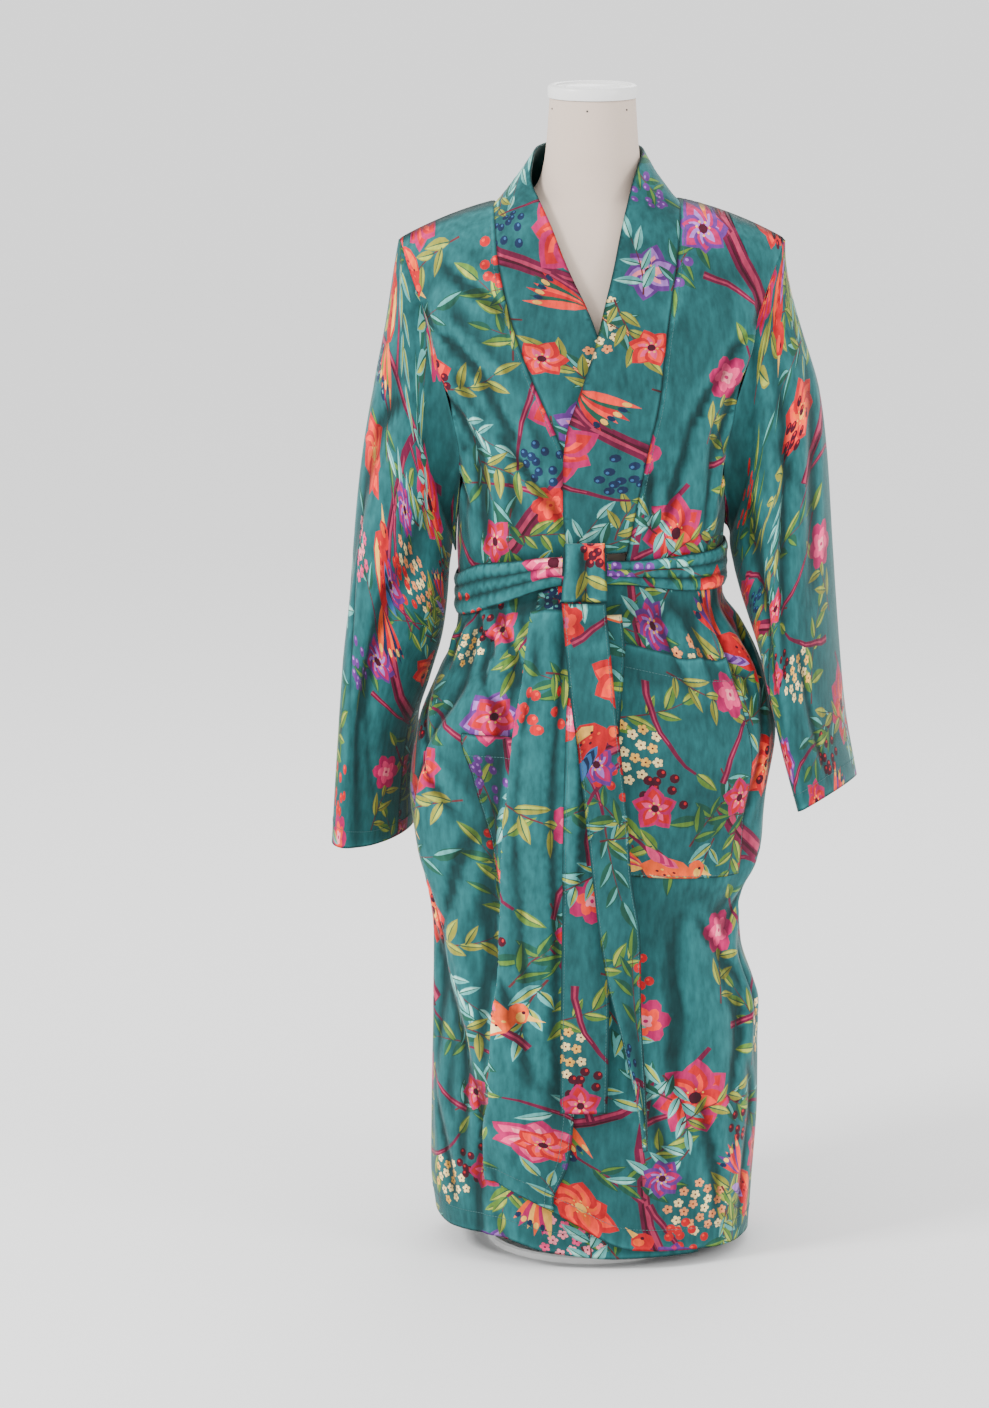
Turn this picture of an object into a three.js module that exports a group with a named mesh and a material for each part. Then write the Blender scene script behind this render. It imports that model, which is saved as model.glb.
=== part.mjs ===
// A velvet kimono robe worn on a limbless dress form.
// Millimetres, Z up. The front faces -Y and the wearer's left side is +X.
import * as THREE from 'three';

// Driving sizes
const CLOTH = 2;            // wall of one velvet layer
const DOUBLE = 3;           // wall of a doubled strip: the band and the belt's tails
const SEAM = 0.3;           // gap between pieces that are sewn together
const TOP_LAYER = 7;        // how far the left front lies outside the right front
const SHOULDER_TOP = 1162;  // height of the shoulder line at the neck
const WAIST = 766;          // height of the belt's centre at the front
const UNDERARM = 806;       // bottom of the armholes
const HEM = 12;             // lowest hem
const HEM_EASE = 210;       // below this the rows shorten to follow a slanted hem
const SLOPE_POWER = 2.2;    // how the shoulder line curves down to its tip
const BASE_RADIUS = 112;
const BASE_THICK = 8;
const POLE_RADIUS = 12.5;
const NECK_TOP = 1262;
const CAP_RADIUS = 48;
const CAP_THICK = 14;

const rad = THREE.MathUtils.degToRad;
const clamp = THREE.MathUtils.clamp;
const mix = THREE.MathUtils.lerp;
const ease = THREE.MathUtils.smoothstep;

// A smooth curve through points that never overshoots them
function curve(points) {
  const sorted = [...points].sort((p, q) => p[0] - q[0]);
  const xs = sorted.map(p => p[0]);
  const ys = sorted.map(p => p[1]);
  const last = xs.length - 1;
  const rise = xs.slice(1).map((x, i) => (ys[i + 1] - ys[i]) / (x - xs[i]));
  const slope = xs.map((x, i) => {
    if (i === 0) return rise[0];
    if (i === last) return rise[last - 1];
    if (rise[i - 1] * rise[i] <= 0) return 0;
    return 2 * rise[i - 1] * rise[i] / (rise[i - 1] + rise[i]);
  });
  return x => {
    if (x <= xs[0]) return ys[0];
    if (x >= xs[last]) return ys[last];
    let i = 0;
    while (x > xs[i + 1]) i += 1;
    const width = xs[i + 1] - xs[i];
    const t = (x - xs[i]) / width;
    const a = ys[i] * (1 + 2 * t) * (1 - t) ** 2 + ys[i + 1] * t * t * (3 - 2 * t);
    return a + width * (slope[i] * t * (1 - t) ** 2 - slope[i + 1] * t * t * (1 - t));
  };
}

// A table with named columns becomes one curve for each column after the first
function curves(names, rows) {
  const entries = names.slice(1).map((name, i) => [name, curve(rows.map(row => [row[0], row[i + 1]]))]);
  return Object.fromEntries(entries);
}

// The robe's body: half widths and depths of its rings, and how much lower each ring's sides lie
const body = curves(['height', 'right', 'left', 'front', 'back', 'mid', 'drop'], [
  [1162, 205, 205, 0, 0, 8, 52],
  [1160, 205, 205, 22, 24, 8, 52],
  [1155, 205, 205, 38, 42, 8, 52],
  [1145, 205, 205, 56, 60, 8, 51],
  [1130, 204, 203, 72, 72, 8, 50],
  [1100, 199, 197, 90, 86, 8, 47],
  [1060, 189, 187, 104, 95, 7, 41],
  [1020, 179, 177, 113, 97, 6, 33],
  [980, 168, 166, 120, 101, 5, 24],
  [940, 159, 157, 124, 102, 4, 16],
  [900, 151, 150, 124, 101, 3, 9],
  [860, 146, 146, 121, 99, 2, 4],
  [806, 143, 142, 115, 96, 0, 0],
  [766, 141, 140, 111, 94, 0, 0],
  [730, 143, 141, 113, 96, 0, 0],
  [700, 147, 160, 120, 106, 0, 0],
  [665, 153, 178, 127, 114, 0, 0],
  [640, 163, 187, 132, 122, 0, 0],
  [580, 186, 200, 138, 132, 0, 0],
  [510, 195, 190, 138, 134, 0, 0],
  [450, 188, 184, 134, 132, 0, 0],
  [390, 174, 161, 130, 128, 0, 0],
  [340, 169, 164, 128, 126, 0, 0],
  [270, 170, 183, 130, 128, 0, 0],
  [170, 172, 184, 132, 130, 0, 0],
  [60, 173, 178, 133, 130, 0, 0],
  [12, 168, 175, 134, 130, 0, 0],
]);
const BODY_ROUND = 0.85;    // below 1 the rings are boxier than an ellipse

// The belt sags to the wearer's right: height of its centre against WAIST, by angle
const beltSag = curve([[-180, -20], [-135, -30], [-90, -38], [-45, -14], [-10, 6], [45, 0],
  [90, -3], [135, -10], [180, -20]]);

// The left front hangs off grain, so its rows slope down towards the side: fall by angle and height
const slopeAcross = curve([[4, 0], [52, -30], [70, -20], [89, 0]]);
const slopeDown = curve([[742, 0], [696, 1], [600, 0.7], [446, 0.35], [380, 0]]);

// Folds and gathers: crest angles at their top and bottom, reach in height, size and flanks
const foldColumns = ['top', 'bottom', 'from', 'to', 'size', 'before', 'after'];
const folds = [
  [-17, -19, 744, 120, 4, 6, 5],
  [-6, -8, 744, 160, 4, 6, 5],
  [-78, -84, 744, 640, 5, 6, 7],
  [-64, -70, 744, 650, 5, 6, 7],
  [-50, -52, 744, 600, 5, 6, 6],
  [-38, -40, 744, 560, 4, 6, 6],
  [66, 74, 740, 610, 9, 9, 10],
  [50, 58, 744, 660, 4, 7, 7],
  [34, 40, 744, 640, 4, 7, 7],
  [72, 60, 560, 60, 7, 14, 10],
  [40, 48, 420, 30, 5, 16, 14],
  [-76, -70, 420, 40, 6, 10, 12],
  [-62, -58, 900, 790, 5, 8, 7],
  [-44, -42, 940, 790, 5, 8, 8],
  [-56, -74, 1100, 860, 6, 9, 12],
  [62, 58, 900, 790, 5, 7, 8],
  [44, 46, 940, 790, 4, 8, 8],
  [56, 74, 1100, 860, 6, 12, 9],
  [112, 106, 744, 120, 7, 11, 11],
  [132, 128, 744, 60, 6, 9, 9],
  [152, 150, 744, 200, 8, 10, 10],
  [172, 174, 744, 60, 6, 9, 9],
  [194, 196, 744, 140, 8, 10, 10],
  [214, 216, 744, 60, 6, 9, 9],
  [236, 240, 744, 160, 7, 11, 11],
  [120, 116, 960, 790, 5, 8, 8],
  [142, 140, 1000, 790, 6, 9, 9],
  [166, 168, 960, 790, 5, 8, 8],
  [190, 190, 1010, 790, 6, 9, 9],
  [212, 214, 970, 790, 5, 8, 8],
  [236, 240, 960, 790, 5, 8, 8],
].map(row => Object.fromEntries(foldColumns.map((name, i) => [name, row[i]])));

// The big ridge on the right front: its angle and height down the skirt
const ridgeAngle = curve([[740, -28], [640, -45], [549, -60], [465, -64], [400, -61], [335, -56],
  [237, -42], [152, -33], [12, -26]]);
const ridgeSize = curve([[745, 0], [690, 6], [600, 13], [465, 15], [300, 14], [152, 8], [12, 4]]);

// The fold where the left front turns back below the belt
const turnAngle = curve([[751, -23], [654, -24.5], [565, -24], [453, -27], [353, -31], [270, -33],
  [191, -33], [107, -36], [12, -38]]);
const turnSize = curve([[745, 0], [690, 4], [565, 8], [353, 9], [191, 7], [12, 5]]);

// A rounded ridge with its own width before and after the crest
function bump(offset, before, after) {
  const share = offset < 0 ? -offset / before : offset / after;
  return share >= 1 ? 0 : Math.cos(share * Math.PI / 2) ** 2;
}

function foldHeight(angle, height) {
  let sum = 0;
  for (const fold of folds) {
    const t = (fold.from - height) / (fold.from - fold.to);
    if (t <= 0 || t >= 1) continue;
    const crest = mix(fold.top, fold.bottom, t);
    const turn = ((angle - crest + 540) % 360) - 180;
    sum += fold.size * Math.sin(Math.PI * t ** 0.7) * bump(turn, fold.before, fold.after);
  }
  sum += ridgeSize(height) * bump(angle - ridgeAngle(height), 10, 30) * ease(-angle, -20, 10);
  sum += turnSize(height) * bump(angle - turnAngle(height), 7, 26);
  const belted = ease(height, 715, 738) * (1 - ease(height, 794, 815));
  return sum * (1 - belted);
}

// A point of the robe's inner surface: angle 0 is the front, 90 the left side and 180 the back
function robe(angle, height) {
  const s = Math.sin(rad(angle));
  const c = Math.cos(rad(angle));
  const wide = s < 0 ? body.right(height) : body.left(height);
  const deep = c > 0 ? body.front(height) : body.back(height);
  const near = Math.sign(c) * Math.abs(c) ** BODY_ROUND;
  const turned = ((angle + 540) % 360) - 180;
  const sag = beltSag(turned) * ease(height, 640, WAIST - 20) * (1 - ease(height, WAIST + 20, 880));
  const out = foldHeight(angle, height);
  const fall = body.drop(height) * Math.abs(s) ** SLOPE_POWER - slopeAcross(turned) * slopeDown(height);
  return new THREE.Vector3(wide * s + out * s, body.mid(height) - deep * near - out * c, height - fall + sag);
}

function robeNormal(angle, height) {
  const across = robe(angle + 0.5, height).sub(robe(angle - 0.5, height));
  if (height > SHOULDER_TOP - 0.5) {
    return new THREE.Vector3(-across.z, 0, across.x).multiplyScalar(Math.sign(across.x)).normalize();
  }
  const down = robe(angle, height - 1).sub(robe(angle, Math.min(height + 1, SHOULDER_TOP)));
  return across.cross(down).negate().normalize();
}

// Moves a point down or up so that its panel ends at its own hem
function toHem(point, hem) {
  if (point.z >= HEM_EASE) return point;
  const low = hem(point.x);
  point.z = low + (point.z - HEM) * (HEM_EASE - low) / (HEM_EASE - HEM);
  return point;
}

// The point of the robe's front at a given x and z, moved out by lift
function onFront(x, z, lift) {
  let height = z;
  let angle = 0;
  for (let i = 0; i < 12; i += 1) {
    const wide = x < 0 ? body.right(height) : body.left(height);
    angle = THREE.MathUtils.radToDeg(Math.asin(clamp(x / wide, -0.999, 0.999)));
    height = clamp(height + z - robe(angle, height).z, HEM, SHOULDER_TOP - 1);
  }
  return robe(angle, height).addScaledVector(robeNormal(angle, height), lift);
}

// Rows of the panels, from the shoulder to the hem
const armRows = [1162, 1157, 1146, 1122, 1088, 1046, 1004, 960, 916, 876, 838, 806];
const skirtRows = [790, 766, 744, 720, 696, 664, 630, 594, 556, 520, 484, 446, 412, 376, 336, 294, 252, 210,
  160, 108, 58, 12];
const panelRows = [...armRows, ...skirtRows];

// How far the armhole's edges stand from the side, in degrees, by height
const armGap = curve([[1162, 0.4], [1157, 7], [1146, 12], [1110, 19], [1060, 23], [980, 25], [900, 22],
  [850, 15], [820, 6], [806, 0.4]]);

// Seams of the collar band on each front, as x by height
const bandSeamLeft = curve([[1162, 92], [1140, 91.5], [1103, 88], [1057, 80], [1014, 74], [959, 68],
  [892, 54], [798, 37], [766, 31]]);
const bandSeamRight = curve([[1162, -104], [1120, -102], [1048, -88], [986, -68], [913, -37], [798, 8],
  [766, 16]]);
const UNDER_EDGE = 42;      // angle of the right front's hidden edge below the belt

// Free edge of the band that is turned back below the belt, as x by height
const flapEdge = curve([[740, -13], [400, -12], [174, -18], [104, -23], [39, -39]]);
const FLAP_COLUMNS = 4;

// The right pocket's slanted side edge, as an angle by height
const rightPocketEdge = curve([[740, -12], [594, -46], [548, -41], [483, -34], [426, -30], [376, -27], [12, -20]]);

function seamAngle(seam, height) {
  const x = seam(height);
  const wide = x < 0 ? body.right(height) : body.left(height);
  return THREE.MathUtils.radToDeg(Math.asin(x / wide));
}

const hemLeft = curve([[-101, 98], [-30, 62], [43, 24], [119, 18], [180, 14]]);
const hemRight = curve([[-180, 44], [-150, 32], [-99, 34], [-51, 21], [33, 12], [120, 12]]);
const hemBack = curve([[-180, 44], [-120, 24], [0, 13], [180, 14]]);

// The closed wall between an outer and an inner grid of points
function wall(outer, inner, ring = false) {
  const rows = outer.length;
  const cols = outer[0].length;
  const points = [...outer.flat(), ...inner.flat()];
  const faces = [];
  const quad = (a, b, c, d) => faces.push(a, b, c, a, c, d);
  const at = (side, i, j) => side * rows * cols + i * cols + j % cols;
  const steps = ring ? cols : cols - 1;
  for (let i = 0; i + 1 < rows; i += 1) {
    for (let j = 0; j < steps; j += 1) {
      quad(at(0, i, j), at(0, i + 1, j), at(0, i + 1, j + 1), at(0, i, j + 1));
      quad(at(1, i, j), at(1, i, j + 1), at(1, i + 1, j + 1), at(1, i + 1, j));
    }
  }
  for (let j = 0; j < steps; j += 1) {
    quad(at(0, 0, j), at(0, 0, j + 1), at(1, 0, j + 1), at(1, 0, j));
    quad(at(0, rows - 1, j), at(1, rows - 1, j), at(1, rows - 1, j + 1), at(0, rows - 1, j + 1));
  }
  for (let i = 0; !ring && i + 1 < rows; i += 1) {
    quad(at(0, i, 0), at(1, i, 0), at(1, i + 1, 0), at(0, i + 1, 0));
    quad(at(0, i, cols - 1), at(0, i + 1, cols - 1), at(1, i + 1, cols - 1), at(1, i, cols - 1));
  }
  return solid(points, faces);
}

// A mesh geometry whose faces point out, whichever way its grid ran
function solid(points, faces) {
  let volume = 0;
  for (let i = 0; i < faces.length; i += 3) {
    const [a, b, c] = [points[faces[i]], points[faces[i + 1]], points[faces[i + 2]]];
    volume += a.dot(b.clone().cross(c));
  }
  const index = volume > 0 ? faces : faces.toReversed();
  const geometry = new THREE.BufferGeometry();
  geometry.setAttribute('position', new THREE.Float32BufferAttribute(points.flatMap(p => p.toArray()), 3));
  geometry.setIndex(index);
  geometry.computeVertexNormals();
  return geometry;
}

// Unit normals of a grid of points, facing away from the centre of each row
function gridNormals(grid, centreOf, ring = false) {
  let facing = 0;
  const normals = grid.map((row, i) => row.map((point, j) => {
    const up = grid[Math.max(i - 1, 0)][j];
    const down = grid[Math.min(i + 1, grid.length - 1)][j];
    const n = row.length;
    const before = ring ? row[(j + n - 1) % n] : row[Math.max(j - 1, 0)];
    const after = ring ? row[(j + 1) % n] : row[Math.min(j + 1, n - 1)];
    const normal = after.clone().sub(before).cross(down.clone().sub(up)).normalize();
    facing += normal.dot(point.clone().sub(centreOf(row, point)));
    return normal;
  }));
  normals.flat().forEach(normal => normal.multiplyScalar(Math.sign(facing)));
  return normals;
}

const rowCentre = row => row.reduce((sum, p) => sum.add(p), new THREE.Vector3()).divideScalar(row.length);
const bodyAxis = (row, point) => new THREE.Vector3(-4, 12, point.z);
const behind = (row, point) => new THREE.Vector3(point.x, point.y + 100, point.z);

// The points of a grid, moved along its normals
function moved(grid, normals, distance) {
  return grid.map((row, i) => row.map((p, j) => p.clone().addScaledVector(normals[i][j], distance)));
}

const robeCloth = { color: 0x3c7373, roughness: 0.78, metalness: 0 };
const group = new THREE.Group();

function add(name, geometry, look) {
  const mesh = new THREE.Mesh(geometry, new THREE.MeshStandardMaterial(look));
  mesh.name = name;
  group.add(mesh);
}

// Points of a row at even steps through its key angles
function throughKeys(keys, counts) {
  const angles = [keys[0]];
  counts.forEach((count, k) => {
    for (let j = 1; j <= count; j += 1) angles.push(mix(keys[k], keys[k + 1], j / count));
  });
  return angles;
}

// A panel from its rows of angles: every point lies on the robe, moved out by the panel's lift
function panel(name, rows, anglesOf, liftOf, heightOf, hem) {
  const inner = [];
  const outer = [];
  for (const row of rows) {
    const low = [];
    const high = [];
    for (const angle of anglesOf(row)) {
      const height = heightOf(row, angle);
      const point = robe(angle, height);
      const normal = robeNormal(angle, height);
      const lift = liftOf(angle, height);
      low.push(toHem(point.clone().addScaledVector(normal, lift), hem));
      high.push(toHem(point.clone().addScaledVector(normal, lift + CLOTH), hem));
    }
    inner.push(low);
    outer.push(high);
  }
  add(name, wall(outer, inner), robeCloth);
  return { inner, outer };
}

const plain = row => row;
const EDGE_GAP = 0.14;      // half a seam's gap, in degrees round the side seams

// The left front lies on the right front from the chest down, but joins the back at the side
function leftLift(angle, height) {
  return TOP_LAYER * (1 - ease(angle, 48, 76)) * (1 - ease(height, 1040, 1120));
}

function leftAngles(height) {
  const above = seamAngle(bandSeamLeft, height);
  const inner = height > WAIST ? above : mix(above, turnAngle(height), ease(WAIST - height, 0, 22));
  const side = 90 - (height > UNDERARM - 1 ? armGap(height) : EDGE_GAP);
  const belowBelt = ease(WAIST - height, 0, 60);
  const free = THREE.MathUtils.radToDeg(Math.asin(flapEdge(height) / body.right(height)));
  const crest = mix(mix(inner, side, 0.3), free, belowBelt);
  return throughKeys([inner, crest, side], [FLAP_COLUMNS, 12]);
}

function rightAngles(height) {
  const above = seamAngle(bandSeamRight, height);
  const inner = height > WAIST ? above : mix(above, UNDER_EDGE, ease(WAIST - height, 0, 40));
  const side = -90 + (height > UNDERARM - 1 ? armGap(height) : EDGE_GAP);
  const belowBelt = ease(WAIST - height, 0, 60);
  const crest = mix(mix(side, inner, 0.45), ridgeAngle(height), belowBelt);
  const foot = mix(mix(side, inner, 0.3), ridgeAngle(height) - 9, belowBelt);
  const pocket = mix(mix(side, inner, 0.62), rightPocketEdge(height), belowBelt);
  return throughKeys([side, foot, crest, pocket, inner], [4, 2, 3, 7]);
}

const leftFront = panel('front_left', panelRows, leftAngles, leftLift, plain, hemLeft);
const rightFront = panel('front_right', panelRows, rightAngles, () => 0, plain, hemRight);

// The back: its neck dips between the shoulder seams
const NECK_DIP = 22;
const NECK_HALF = 98;
const neckCentre = -6;
const neckColumns = 8;

function backTop(angle) {
  const x = body.left(SHOULDER_TOP) * Math.sin(rad(angle));
  const share = clamp(Math.abs(x - neckCentre) / NECK_HALF, 0, 1);
  return SHOULDER_TOP - NECK_DIP * Math.sqrt(1 - share ** 2.5);
}

const neckLeftAngle = 180 - seamAngle(bandSeamLeft, SHOULDER_TOP);
const neckRightAngle = 180 - seamAngle(bandSeamRight, SHOULDER_TOP);

function backAngles(height) {
  const gap = height > UNDERARM - 1 ? armGap(height) : EDGE_GAP;
  return throughKeys([90 + gap, neckLeftAngle, neckRightAngle, 270 - gap], [5, neckColumns, 5]);
}

function backHeight(row, angle) {
  const low = 1088;
  return row <= low ? row : low + (row - low) * (backTop(angle) - low) / (SHOULDER_TOP - low);
}

panel('back', panelRows, backAngles, () => 0, backHeight, hemBack);

// Sleeves: outer and inner profile lines, half depth, and how far the flattened tube leans
const sleeveNames = ['along', 'outerX', 'outerZ', 'innerX', 'innerZ', 'depth', 'lean'];
const sleeveTables = {
  right: curves(sleeveNames, [
    [0, 206, 1110, 154, 804, 50, 0],
    [0.08, 211, 1080, 152, 782, 64, 0.05],
    [0.2, 219, 1028, 155, 752, 76, 0.2],
    [0.32, 232, 964, 157, 716, 82, 0.35],
    [0.45, 246, 888, 161, 676, 86, 0.5],
    [0.6, 258, 785, 174, 622, 87, 0.65],
    [0.75, 267, 678, 188, 570, 87, 0.75],
    [0.88, 274, 572, 192, 514, 86, 0.8],
    [1, 280, 468, 194, 454, 85, 0.83],
  ]),
  left: curves(sleeveNames, [
    [0, 204, 1110, 154, 804, 50, 0],
    [0.08, 206, 1070, 152, 784, 64, 0.05],
    [0.2, 226, 1008, 156, 758, 74, 0.2],
    [0.32, 246, 944, 163, 728, 80, 0.35],
    [0.45, 256, 876, 171, 700, 83, 0.5],
    [0.6, 264, 780, 182, 662, 84, 0.65],
    [0.75, 272, 684, 192, 616, 84, 0.75],
    [0.88, 281, 592, 206, 560, 82, 0.82],
    [1, 295, 512, 225, 492, 80, 0.85],
  ]),
};
const sleeveSteps = [0, 0.05, 0.11, 0.18, 0.25, 0.32, 0.39, 0.46, 0.53, 0.6, 0.67, 0.74, 0.81, 0.88, 0.94, 1];
const LENS = 1.12;          // above 1 the tube's corners are sharper than an ellipse's

// Creases along the sleeves: where round the tube, from and to along it, depth and half width
const creaseColumns = ['round', 'shift', 'from', 'to', 'depth', 'width'];
const creaseTables = {
  right: [
    [60, -25, 0.05, 0.75, 6, 22],
    [120, -20, 0.1, 0.95, 5, 20],
    [95, 30, 0.35, 1.05, 5, 18],
    [240, 20, 0.1, 0.9, 6, 22],
    [300, -15, 0.2, 1.05, 5, 20],
  ],
  left: [
    [55, 25, 0.05, 0.8, 7, 20],
    [125, -25, 0.05, 0.9, 6, 20],
    [20, 10, 0.2, 0.7, 5, 18],
    [240, 20, 0.1, 0.9, 6, 22],
    [300, -15, 0.3, 1.05, 5, 20],
  ],
};

function creaseDepth(side, degrees, along) {
  let sum = 0;
  for (const row of creaseTables[side]) {
    const crease = Object.fromEntries(creaseColumns.map((name, i) => [name, row[i]]));
    const t = (along - crease.from) / (crease.to - crease.from);
    if (t <= 0 || t >= 1) continue;
    const turn = ((degrees - crease.round - crease.shift * t + 540) % 360) - 180;
    sum += crease.depth * Math.sin(Math.PI * t) * bump(turn, crease.width, crease.width);
  }
  return sum;
}

function sleevePoint(side, along, degrees) {
  const table = sleeveTables[side];
  const sign = side === 'left' ? 1 : -1;
  const c = Math.cos(rad(degrees));
  const s = Math.sin(rad(degrees));
  const round = Math.sign(c) * Math.abs(c) ** LENS;
  const half = (table.outerX(along) - table.innerX(along)) / 2;
  const centre = (table.outerX(along) + table.innerX(along)) / 2;
  const lean = table.lean(along);
  const across = half * (Math.sqrt(1 - lean ** 2) * round - sign * lean * s);
  const tall = (table.outerZ(along) - table.innerZ(along)) / 2;
  const high = (table.outerZ(along) + table.innerZ(along)) / 2;
  return new THREE.Vector3(sign * (centre + across), 4 - table.depth(along) * s, high + tall * c);
}

function sleeve(side) {
  const sign = side === 'left' ? 1 : -1;
  const last = armRows.length - 1;
  const ringSize = 2 * last;
  const armhole = [];
  const armNormals = [];
  for (let j = 0; j < ringSize; j += 1) {
    const front = j <= last;
    const height = armRows[front ? j : ringSize - j];
    const gap = armGap(height);
    const angle = sign * (90 + (front ? -gap : gap));
    const lift = side === 'left' && front ? leftLift(angle, height) : 0;
    const normal = robeNormal(angle, height);
    armNormals.push(normal);
    const point = robe(angle, height).addScaledVector(normal, lift);
    const clear = mix(SEAM * 1.6, CLOTH + 2 * SEAM, 1 - ease(height, UNDERARM + 5, 890));
    armhole.push(point.add(new THREE.Vector3(sign * clear, 0, 0)));
  }
  const grid = sleeveSteps.map(along => armhole.map((start, j) => {
    const degrees = 180 * j / last;
    const reach = mix(0.06, 0.2, (1 + Math.cos(rad(degrees))) / 2);
    return sleevePoint(side, along, degrees).lerp(start, 1 - ease(along, 0, reach));
  }));
  const normals = gridNormals(grid, rowCentre, true);
  normals[0] = armNormals;
  const creased = grid.map((row, i) => row.map((p, j) => {
    const depth = creaseDepth(side, 180 * j / last, sleeveSteps[i]);
    return p.clone().addScaledVector(normals[i][j], -depth);
  }));
  add('sleeve_' + side, wall(moved(creased, normals, CLOTH), creased, true), robeCloth);
}

sleeve('left');
sleeve('right');

// The collar band: one strip from the belt, up one front, round the neck and down the other.
// Its free edge runs at these places, by height of the seam beside it.
const edgeNames = ['height', 'x', 'z', 'y'];
const bandEdges = {
  left: curves(edgeNames, [
    [790, -26, 790, -125],
    [838, -31, 840, -125],
    [876, -31, 880, -125],
    [916, -28, 918, -125],
    [960, -14, 962, -125],
    [1004, 1, 1008, -118],
    [1046, 11, 1050, -105],
    [1088, 22, 1094, -84],
    [1122, 30, 1133, -72],
    [1146, 38, 1164, -52],
    [1157, 45, 1187, -34],
    [1162, 54, 1205, 8],
  ]),
  right: curves(edgeNames, [
    [790, 76, 790, -115],
    [838, 62, 840, -120],
    [876, 50, 880, -122],
    [916, 38, 918, -122],
    [960, 24, 963, -120],
    [1004, 10, 1006, -112],
    [1046, -6, 1048, -104],
    [1088, -28, 1092, -80],
    [1122, -46, 1136, -66],
    [1146, -58, 1160, -40],
    [1157, -66, 1180, -14],
    [1162, -61, 1203, 14],
  ]),
};
const bandShares = [0, 0.3, 0.65, 1];
const BAND_ROLL = 4;        // how far the band swells between its seam and its edge at the neck

function bandRow(side, height) {
  const seam = side === 'left' ? bandSeamLeft : bandSeamRight;
  const table = bandEdges[side];
  const angle = seamAngle(seam, height);
  const lift = side === 'left' ? leftLift(angle, height) : 0;
  const normal = robeNormal(angle, height);
  const start = robe(angle, height).addScaledVector(normal, lift);
  const end = new THREE.Vector3(table.x(height), table.y(height), table.z(height));
  const standing = ease(height, 1080, 1140);
  const points = bandShares.map(share => {
    if (share === 0) {
      return start.clone().addScaledVector(end.clone().sub(start).normalize(), SEAM * 1.4);
    }
    const free = start.clone().lerp(end, share);
    free.y -= BAND_ROLL * Math.sin(Math.PI * share);
    return onFront(mix(start.x, end.x, share), mix(start.z, end.z, share), lift).lerp(free, standing);
  });
  return { points, normal };
}

function neckRow(share) {
  const angle = mix(neckLeftAngle, neckRightAngle, share);
  const start = robe(angle, backTop(angle)).add(new THREE.Vector3(0, 0, SEAM + 0.2));
  const end = new THREE.Vector3(-3 + 57.5 * Math.cos(Math.PI * share), 12 + 53 * Math.sin(Math.PI * share),
    1203 + 9 * Math.sin(Math.PI * share));
  const points = bandShares.map(t => {
    const point = start.clone().lerp(end, t);
    point.y += BAND_ROLL * Math.sin(Math.PI * t);
    return point;
  });
  return { points, normal: robeNormal(angle, backTop(angle)) };
}

const bandHeights = panelRows.filter(height => height >= 790).reverse();
const bandRows = [
  ...bandHeights.map(height => bandRow('left', height)),
  ...Array.from({ length: neckColumns - 1 }, (_, j) => neckRow((j + 1) / neckColumns)),
  ...bandHeights.toReversed().map(height => bandRow('right', height)),
];
const bandGrid = bandRows.map(row => row.points);
const bandNormals = gridNormals(bandGrid, bodyAxis);
bandRows.forEach((row, i) => { bandNormals[i][0] = row.normal; });
add('collar_band', wall(moved(bandGrid, bandNormals, DOUBLE), bandGrid), robeCloth);

// Points of a panel's outer face between two rows and two columns, moved out by a lift
function liftedPatch(panelGrid, rows, columns, lift) {
  return panelGrid.outer.slice(rows[0], rows[1] + 1).map((row, i) => {
    const inner = panelGrid.inner[rows[0] + i];
    return row.slice(columns[0], columns[1] + 1).map((point, j) => {
      const out = point.clone().sub(inner[columns[0] + j]).normalize();
      return point.clone().addScaledVector(out, lift);
    });
  });
}

const rowAt = height => panelRows.indexOf(height);

// The front band below the belt, turned back over the left front from its fold to its free edge
const FLAP_GAP = 0.8;
const FLAP_ROLL = 1.6;      // how far the fold rolls out past the panel's edge

function flap() {
  const rows = [rowAt(720), rowAt(HEM)];
  const low = liftedPatch(leftFront, rows, [0, FLAP_COLUMNS], FLAP_GAP);
  const high = liftedPatch(leftFront, rows, [0, FLAP_COLUMNS], FLAP_GAP + DOUBLE);
  const foot = liftedPatch(leftFront, rows, [0, FLAP_COLUMNS], -CLOTH);
  low.forEach((row, i) => {
    const past = row[0].clone().sub(row[1]).normalize();
    row[0].addScaledVector(past, SEAM);
    row.unshift(foot[i][0].clone().addScaledVector(past, SEAM));
    high[i].unshift(foot[i][0].clone().addScaledVector(past, SEAM + FLAP_ROLL));
    high[i][1].addScaledVector(past, SEAM + FLAP_ROLL * 0.7);
  });
  const last = low.length - 1;
  for (const row of [low[last], high[last]]) {
    row.forEach((point, j) => { point.z -= 5 * Math.sin(Math.PI * Math.max(0, j - 1) / (row.length - 2)); });
  }
  add('front_edge_flap', wall(high, low), robeCloth);
}

flap();

// Patch pockets, made from the panel's own points moved out
const POCKET_GAP = 0.5;     // between a panel and the pocket on it

function pocket(name, panelGrid, top, bottom, columns) {
  const rows = [rowAt(top), rowAt(bottom)];
  const low = liftedPatch(panelGrid, rows, columns, POCKET_GAP);
  const high = liftedPatch(panelGrid, rows, columns, POCKET_GAP + CLOTH);
  add(name, wall(high, low), robeCloth);
}

pocket('pocket_left', leftFront, 696, 446, [5, 11]);
pocket('pocket_right', rightFront, 594, 376, [9, 12]);

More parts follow.
